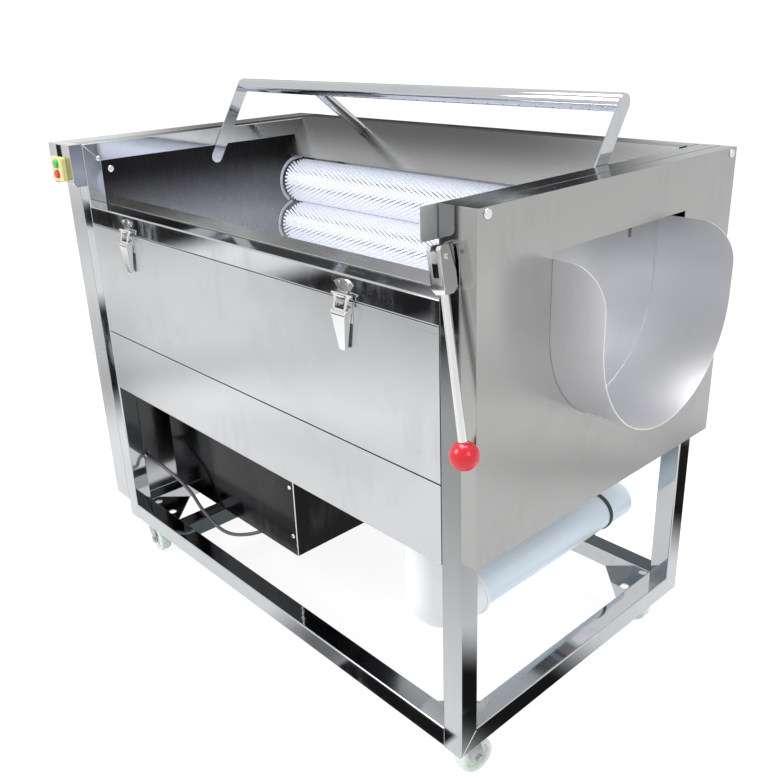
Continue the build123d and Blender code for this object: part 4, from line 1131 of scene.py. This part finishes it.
@dataclass
class SheetWork(SubAssembly):
    """Panels, casings, tub plates, baffles, collecting pan and the strip beside the roller ends."""

    title: str = "sheet metal"
    skins: tuple[Skins, ...] = (
        Skins(Finishes.satin, Rounding.fold, (
            "front_upper_panel", "front_lower_panel", "rear_panel", "left_casing", "drain_pan",
            "left_drive_plate", "front_baffle")),
        Skins(Finishes.baffle, Rounding.fold, ("rear_baffle",)),
        Skins(Finishes.satin_shaded_end, Rounding.fold, ("right_casing", "right_bearing_plate")),
        Skins(Finishes.tub_plate, Rounding.fold, ("left_bearing_plate",)),
    )
    strip_radius: float = 0.0515
    strip_width: float = 0.008
    strip_thickness: float = 0.0015
    strip_gap: float = 0.0002
    strip_clearance: float = 0.004
    tub_rise: float = 0.1
    tub_share: float = 0.25

    def own_pieces(self) -> list[Piece]:
        """Paints a dark reflection into the right casing's top and adds the strip."""
        self.shade("right_casing", looks_up)
        return [self._end_guard()]

    def _end_guard(self) -> Piece:
        """Thin scalloped edge strip that shows beside the roller ends on the left tub plate."""
        x_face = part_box("left_bearing_plate")[1].x
        half = self.strip_thickness / 2
        inner = self.strip_radius
        outer = inner + self.strip_width
        profile = ((inner, -half), (outer, -half), (outer, half), (inner, half), (inner, -half))
        centres = []
        rings = []
        for index in (1, 2, 3):
            low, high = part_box(f"brush_roller_{index}")
            y, z = (low.y + high.y) / 2, (low.z + high.z) / 2
            centres.append(Vector((0, y, z)))
            centre = (x_face + half + self.strip_gap, y, z)
            rings.append(turned("scallop", profile, centre, X_AXIS, steps=64))
        for ring, own in zip(rings, centres):
            self._trim(ring, own, [centre for centre in centres if centre is not own])
        guard = join(rings, "roller_end_guard")
        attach(guard, "frame")
        return FINISHES.dress(guard, Finishes.bright)

    def _trim(self, ring: Piece, own: Vector, others: Sequence[Vector]) -> None:
        """Keeps only the side of a ring that faces the tub and lies off the other rollers.

        Args:
            ring: The ring round one roller.
            own: That roller's centre, at x = 0.
            others: The other rollers' centres.
        """
        pan_low, pan_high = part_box("drain_pan")
        middle = Vector((0, pan_low.y / 2 + pan_high.y / 2, own.z + self.tub_rise))

        def is_cut(face: Face) -> bool:
            """Tells a face that looks away from the tub or lies near another roller."""
            centre = Vector((0, face.center.y, face.center.z))
            inward = (centre - own).normalized().dot((middle - own).normalized())
            near = min((centre - other).length for other in others)
            return inward < self.tub_share or near < self.strip_radius + self.strip_clearance

        select_faces(ring, is_cut)
        bpy.ops.mesh.delete(type="FACE")
        bpy.ops.object.mode_set(mode="OBJECT")


@dataclass
class Discharge(SubAssembly):
    """U chute, gate flap on its shaft, and the hand lever with its ball."""

    title: str = "discharge"
    skins: tuple[Skins, ...] = (
        Skins(Finishes.chute, Rounding.none, ("discharge_chute",)),
        Skins(Finishes.gate, Rounding.none, ("gate_flap",)),
        Skins(Finishes.bright, Rounding.none, ("gate_shaft",)),
        Skins(Finishes.bright, Rounding.clamp, ("gate_lever",)),
    )
    clamp_inset: Point = (0.008, 0.012, 0.014)
    ball_radius: float = 0.0205
    ball_steps: int = 40
    ball_sides: int = 64
    parting_depth: float = 0.0004
    parting_angle: float = 0.03
    neck_radius: float = 0.0062
    neck_depth: float = 0.002
    neck_degrees: float = 17.0

    def own_pieces(self) -> list[Piece]:
        """Glossy ball knob with its parting line and moulded neck, its neck towards the lever's clamp."""
        low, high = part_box("lever_ball")
        centre = (low + high) / 2
        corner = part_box("gate_lever")[1]
        across, back, down = self.clamp_inset
        axis = Vector((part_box("gate_shaft")[0].x + across, corner.y - back, corner.z - down)) - centre
        flat = math.radians(self.neck_degrees)
        profile = []
        for index in range(self.ball_steps + 1):
            angle = math.pi - (math.pi - flat) * index / self.ball_steps
            on_line = abs(angle - math.pi / 2) < self.parting_angle
            bulge = self.ball_radius - (self.parting_depth if on_line else 0)
            profile.append((bulge * math.sin(angle) if index else 0.0, bulge * math.cos(angle)))
        neck = self.ball_radius * math.cos(flat)
        profile += [(self.neck_radius, neck), (self.neck_radius, neck - self.neck_depth)]
        ball = turned("lever_ball_knob", profile, centre, axis, steps=self.ball_sides)
        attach(ball, "gate")
        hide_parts("lever_ball")
        return [FINISHES.dress(ball, Finishes.ball)]


@dataclass
class BrushRollers(SubAssembly):
    """Seven rollers: core, shaft, sprockets and thousands of nylon tufts on a helix."""

    title: str = "brush rollers"
    count: int = 7
    end_gap: float = 0.004
    core_radius: float = 0.030
    core_sides: int = 40
    shaft_radius: float = 0.010
    shaft_chamfer: float = 0.0008
    shaft_sides: int = 32
    tip_radius: float = 0.051
    edge: float = 0.006
    tufts_per_turn: float = 35.5
    tuft_pitch: float = 0.0095
    strands: int = 5
    root_radius: float = 0.0008
    root_sink: float = 0.001
    root_spread: float = 0.0009
    strand_radius: float = 0.00105
    splay: float = 0.0018
    scatter: float = 0.00035
    turn_step: float = 23.0
    sprocket_root: float = 0.018
    sprocket_tip: float = 0.022
    sprocket_width: float = 0.005
    teeth: int = 13
    first_plane: float = 0.016
    plane_spacing: float = 0.014

    def own_pieces(self) -> list[Piece]:
        """Builds the tufts once and each roller from a copy."""
        pattern = self._tufts()
        made = []
        for index in range(1, self.count + 1):
            made += self._roller(index, pattern)
        bpy.data.objects.remove(pattern)
        return made

    def _span(self) -> tuple[float, float]:
        """Lowest and highest x of the brush body."""
        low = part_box("left_bearing_plate")[1].x + self.end_gap
        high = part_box("right_bearing_plate")[0].x - self.end_gap
        return low, high

    def _tuft(self) -> Piece:
        """One tuft on the roller's top: a middle strand and others that splay out around it."""
        strands = []
        root = self.core_radius - self.root_sink
        length = self.tip_radius - root
        for index in range(self.strands):
            angle = math.tau * index / (self.strands - 1)
            outward = Vector((math.cos(angle), math.sin(angle), 0)) * (1 if index else 0)
            deselect_all()
            bpy.ops.mesh.primitive_cone_add(
                vertices=4, radius1=self.root_radius, radius2=self.strand_radius, depth=length,
                end_fill_type="NGON")
            strand = bpy.context.active_object
            select_faces(strand, lambda face: face.normal.z < -FACING_SHARE)
            bpy.ops.mesh.delete(type="ONLY_FACE")
            select_faces(strand, looks_up)
            bpy.ops.transform.translate(value=outward * (self.splay - self.root_spread))
            bpy.ops.object.mode_set(mode="OBJECT")
            strand.location = outward * self.root_spread + Vector((0, 0, root + length / 2))
            strands.append(settle(strand))
        return join(strands, "tuft")

    def _tufts(self) -> Piece:
        """All the tufts of one roller, wound on a helix round the X axis."""
        low, high = self._span()
        tuft = self._tuft()
        length = high - low - 2 * self.edge
        step = self.tuft_pitch / self.tufts_per_turn
        tuft.location.x = low + self.edge
        settle(tuft)
        turn = placed("helix_step", None)
        turn.location.x = step
        turn.rotation_euler.x = math.tau / self.tufts_per_turn
        bpy.context.view_layer.update()
        winding = tuft.modifiers.new("winding", "ARRAY")
        winding.use_relative_offset = False
        winding.use_object_offset = True
        winding.offset_object = turn
        winding.count = int(length / step)
        apply_modifiers(tuft)
        bpy.data.objects.remove(turn)
        return tuft

    def _roller(self, index: int, pattern: Piece) -> list[Piece]:
        """One roller at its place.

        Args:
            index: Its number, from the rear top round to the front.
            pattern: The tufts of one roller on the X axis.

        Returns:
            Its shaft with the sprockets, its core and its tufts.
        """
        node = f"brush_roller_{index}"
        low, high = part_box(node)
        left, right = self._span()
        y, z = Vector(joint(f"{node}_spin")["pos_m"]).yz
        wide, radius, chamfer = self.core_radius, self.shaft_radius, self.shaft_chamfer
        core = turned(f"roller_core_{index}", ((0.0, left), (wide, left), (wide, right), (0.0, right)),
                      (0, y, z), X_AXIS, steps=self.core_sides)
        ends = ((0.0, low.x), (radius - chamfer, low.x), (radius, low.x + chamfer),
                (radius, high.x - chamfer), (radius - chamfer, high.x), (0.0, high.x))
        shaft = turned("shaft", ends, (0, y, z), X_AXIS, steps=self.shaft_sides)
        wheels = [self._sprocket(plane, y, z) for plane in self._planes(index)]
        axle = join([shaft, *wheels], f"roller_shaft_{index}")
        FINISHES.dress(axle, Finishes.bright)
        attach(axle, node)
        FINISHES.dress(core, Finishes.core)
        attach(core, node)
        tufts = placed(f"roller_tufts_{index}", pattern.data.copy())
        edit_all(tufts)
        bpy.ops.transform.vertex_random(offset=self.scatter, uniform=0.0, normal=0.0, seed=index)
        bpy.ops.object.mode_set(mode="OBJECT")
        turn = Matrix.Rotation(math.radians(self.turn_step * index), 4, "X")
        tufts.matrix_world = Matrix.Translation((0, y, z)) @ turn
        settle(tufts)
        FINISHES.dress(tufts, Finishes.nylon)
        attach(tufts, node)
        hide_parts(node)
        return [axle, core, tufts]

    def _planes(self, index: int) -> list[int]:
        """Chain planes that a roller's sprockets lie in."""
        planes = []
        if index < self.count:
            planes.append((index - 1) % 2)
        if index > 1:
            planes.append((index - 2) % 2)
        if index == self.count:
            planes.append(2)
        return planes

    def _sprocket(self, plane: int, y: float, z: float) -> Piece:
        """Toothed wheel of one chain plane on an axis along X."""
        deselect_all()
        bpy.ops.mesh.primitive_circle_add(
            vertices=4 * self.teeth, radius=self.sprocket_root, fill_type="NGON")
        wheel = bpy.context.active_object
        edit_all(wheel)
        bpy.ops.mesh.select_mode(type="VERT")
        bpy.ops.mesh.select_all(action="DESELECT")
        bpy.ops.object.mode_set(mode="OBJECT")
        for vertex in wheel.data.vertices:
            vertex.select = vertex.index % 4 in (1, 2)
        bpy.ops.object.mode_set(mode="EDIT")
        grow = self.sprocket_tip / self.sprocket_root
        bpy.ops.transform.resize(value=(grow, grow, 1), center_override=(0, 0, 0))
        bpy.ops.mesh.select_all(action="SELECT")
        bpy.ops.mesh.extrude_region_move(TRANSFORM_OT_translate={"value": (0, 0, self.sprocket_width)})
        bpy.ops.mesh.select_all(action="SELECT")
        bpy.ops.mesh.normals_make_consistent(inside=False)
        bpy.ops.object.mode_set(mode="OBJECT")
        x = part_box("front_left_post")[0].x - self.first_plane - self.plane_spacing * plane
        wheel.rotation_euler.y = math.radians(90)
        wheel.location = (x - self.sprocket_width / 2, y, z)
        return settle(wheel)


@dataclass
class Drive(SubAssembly):
    """Bearings, chains, drive sprocket, geared motor and the box round it, its steel coloured near black as
    a painted reflection.
    """

    title: str = "drive"
    skins: tuple[Skins, ...] = (
        Skins(Finishes.casting, Rounding.fold, ("bearing_housings",)),
        Skins(Finishes.chain, Rounding.none, ("drive_chains", "drive_sprocket")),
        Skins(Finishes.paint, Rounding.none, ("gear_motor",)),
        Skins(Finishes.painted_dark_mirror, Rounding.case, ("drive_box",)),
    )
    edge_radius: float = 0.0011

    def own_pieces(self) -> list[Piece]:
        """Bright cut edge of the box's front sheet at its front right corner."""
        points = [vertex.co for vertex in frame["nodes"]["drive_box"].data.vertices]
        right = max(point.x for point in points)
        side = [point for point in points if right - point.x < self.edge_radius]
        front = min(point.y for point in side)
        half = self.edge_radius / 2
        low = Vector((right - half, front + half, min(point.z for point in side)))
        high = Vector((low.x, low.y, max(point.z for point in side)))
        strip = lathe_rod("drive_box_edge", low, high, self.edge_radius, sides=12)
        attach(strip, "frame")
        return [FINISHES.dress(strip, Finishes.bright)]


@dataclass
class Drain(SubAssembly):
    """Plastic drain elbow, pipe and strap."""

    title: str = "drain"
    skins: tuple[Skins, ...] = (
        Skins(Finishes.elbow, Rounding.fold, ("drain_elbow",)),
        Skins(Finishes.pvc, Rounding.fold, ("drain_pipe",)),
        Skins(Finishes.strap, Rounding.strap, ("drain_strap",)),
    )
    tail_length: float = 0.022
    tail_radius: float = 0.0025

    def own_pieces(self) -> list[Piece]:
        """Loose end of the strap, hanging from its buckle under the pipe."""
        radius = self.tail_radius
        points = [vertex.co for vertex in frame["nodes"]["drain_strap"].data.vertices]
        floor = min(point.z for point in points)
        lowest = [point for point in points if point.z - floor < radius / 10]
        buckle = sum(lowest, Vector((0, 0, radius * len(lowest)))) / len(lowest)
        end = buckle - Vector((0, 0, self.tail_length))
        tail = lathe_rod("drain_strap_tail", buckle, end, radius, sides=12, chamfer=radius / 3)
        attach(tail, "frame")
        return [FINISHES.dress(tail, Finishes.strap)]


@dataclass
class Casters(SubAssembly):
    """Four swivel casters with plastic wheels."""

    title: str = "casters"
    numbers: tuple[int, ...] = (1, 2, 3, 4)
    skins: tuple[Skins, ...] = (
        Skins(Finishes.zinc, Rounding.plate, (
            "caster_plates", "caster_fork_1", "caster_fork_2", "caster_fork_3", "caster_fork_4")),
    )
    wheel_radius: float = 0.0315
    wheel_width: float = 0.026
    crown: float = 0.005
    rim_depth: float = 0.0085
    web_depth: float = 0.006
    hub_radius: float = 0.0105
    bore_radius: float = 0.0042
    draft: float = 0.002
    bead: float = 0.0014
    chamfer: float = 0.001
    hub_chamfer: float = 0.0008
    cap_rise: float = 0.0004
    cap_inset: float = 0.0012
    cap_depth: float = 0.003

    def own_pieces(self) -> list[Piece]:
        """Builds the wheels."""
        return [piece for number in self.numbers for piece in self._wheel(number)]

    def _tread(self) -> list[tuple[float, float]]:
        """Closed profile of the crowned tread with its recessed web."""
        radius, hub = self.wheel_radius, self.hub_radius
        half = self.wheel_width / 2
        rim = radius - self.rim_depth
        web = half - self.web_depth
        side = [
            (self.bore_radius, half), (hub, half), (hub + self.hub_chamfer, half - self.chamfer),
            (hub + self.draft, web), (rim - self.draft, web), (rim, half - self.chamfer),
            (rim + self.chamfer, half), (radius - self.crown, half), (radius - self.bead, half - self.bead),
            (radius, half - self.crown),
        ]
        return side + [(reach, -place) for reach, place in reversed(side)] + [side[0]]

    def _cap(self, sign: int) -> list[tuple[float, float]]:
        """Closed profile of the coloured hub cap on one side, 1 or -1, of the wheel."""
        half, bore, hub = self.wheel_width / 2, self.bore_radius, self.hub_radius
        top, foot = half + self.cap_rise, half - self.cap_depth
        cap = [(bore, top), (hub - self.draft, top), (hub - self.cap_inset, half),
               (hub - self.cap_inset, foot), (bore, foot), (bore, top)]
        return [(reach, place * sign) for reach, place in cap]

    def _wheel(self, number: int) -> list[Piece]:
        """Tread and hub of one caster's wheel."""
        node = f"caster_wheel_{number}"
        low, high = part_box(node)
        centre = (low + high) / 2
        axis = Vector(joint(f"caster_{number}_roll")["axis"])
        tread = turned(f"caster_tread_{number}", self._tread(), centre, axis, steps=56)
        FINISHES.dress(tread, Finishes.wheel)
        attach(tread, node)
        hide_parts(node)
        caps = [turned("cap", self._cap(sign), centre, axis, steps=32) for sign in (1, -1)]
        hub_piece = join(caps, f"caster_hub_{number}")
        FINISHES.dress(hub_piece, Finishes.hub)
        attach(hub_piece, node)
        return [tread, hub_piece]


@dataclass
class MotorCable(SubAssembly):
    """Cable from the left drive casing to the motor box, lying over the motor rail."""

    title: str = "motor cable"
    diameter: float = 0.008
    length: float = 0.42
    route: tuple[Point, ...] = (
        (10.0, 57.5, 141.5), (46.0, 62.0, 133.0), (91.0, 67.0, 120.5), (129.0, 72.0, 110.0),
        (165.0, 80.0, 85.0), (187.0, 84.0, 57.0), (211.0, 87.0, 42.0), (236.0, 91.0, 26.0),
        (268.0, 94.0, 21.0), (304.0, 97.0, 28.0), (339.0, 101.0, 42.0), (366.0, 110.0, 53.0),
        (382.0, 124.0, 61.0),
    )  # Millimetres from the frame's near left corner, on the caster plates.

    def own_pieces(self) -> list[Piece]:
        """Builds the cable on one smooth line."""
        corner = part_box("front_left_post")[0]
        points = [corner + Vector(point) / MILLIMETRES for point in self.route]
        data = bpy.data.curves.new("motor_cable_sheath", "CURVE")
        data.dimensions = "3D"
        spline = data.splines.new("NURBS")
        spline.points.add(len(points) - 1)
        for target, point in zip(spline.points, points):
            target.co = (*point, 1)
        spline.order_u = 3
        spline.use_endpoint_u = True
        data.resolution_u = 12
        data.bevel_depth = self.diameter / 2
        data.bevel_resolution = 5
        data.use_fill_caps = True
        sheath = placed("motor_cable_sheath", data)
        FINISHES.dress(sheath, Finishes.cable)
        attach(sheath, "frame")
        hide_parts("motor_cable")
        return [sheath]


GROUPS: tuple[SubAssembly, ...] = (
    MotorCable(),
    WeldedFrame(),
    SheetWork(),
    Discharge(),
    SubAssembly("spray bar", (Skins(Finishes.polished, Rounding.none, ("spray_bar",)),)),
    BrushRollers(),
    Drive(),
    Drain(),
    SubAssembly("switch", (
        Skins(Finishes.polished, Rounding.plate, ("switch_guard",)),
        Skins(Finishes.chute, Rounding.plate, ("right_cheek",)),
        Skins(Finishes.switch, Rounding.case, ("switch_box",)),
        Skins(Finishes.start, Rounding.button, ("start_button",)),
        Skins(Finishes.stop, Rounding.button, ("stop_button",)),
    )),
    SubAssembly("latches", (
        Skins(Finishes.bright, Rounding.wire, (
            "latch_plates", "left_latch_lever", "right_latch_lever", "left_latch_bail", "right_latch_bail")),
    )),
    Casters(),
    SubAssembly("screws", (Skins(Finishes.bright, Rounding.none, ("panel_screws",)),)),
)


def main() -> None:
    """Builds the studio and every sub-assembly."""
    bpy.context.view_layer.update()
    scene = bpy.context.scene
    scene.view_settings.view_transform = "Standard"
    Studio().build()
    for group in GROUPS:
        group.build()
    deselect_all()


if __name__ == "__main__":
    main()
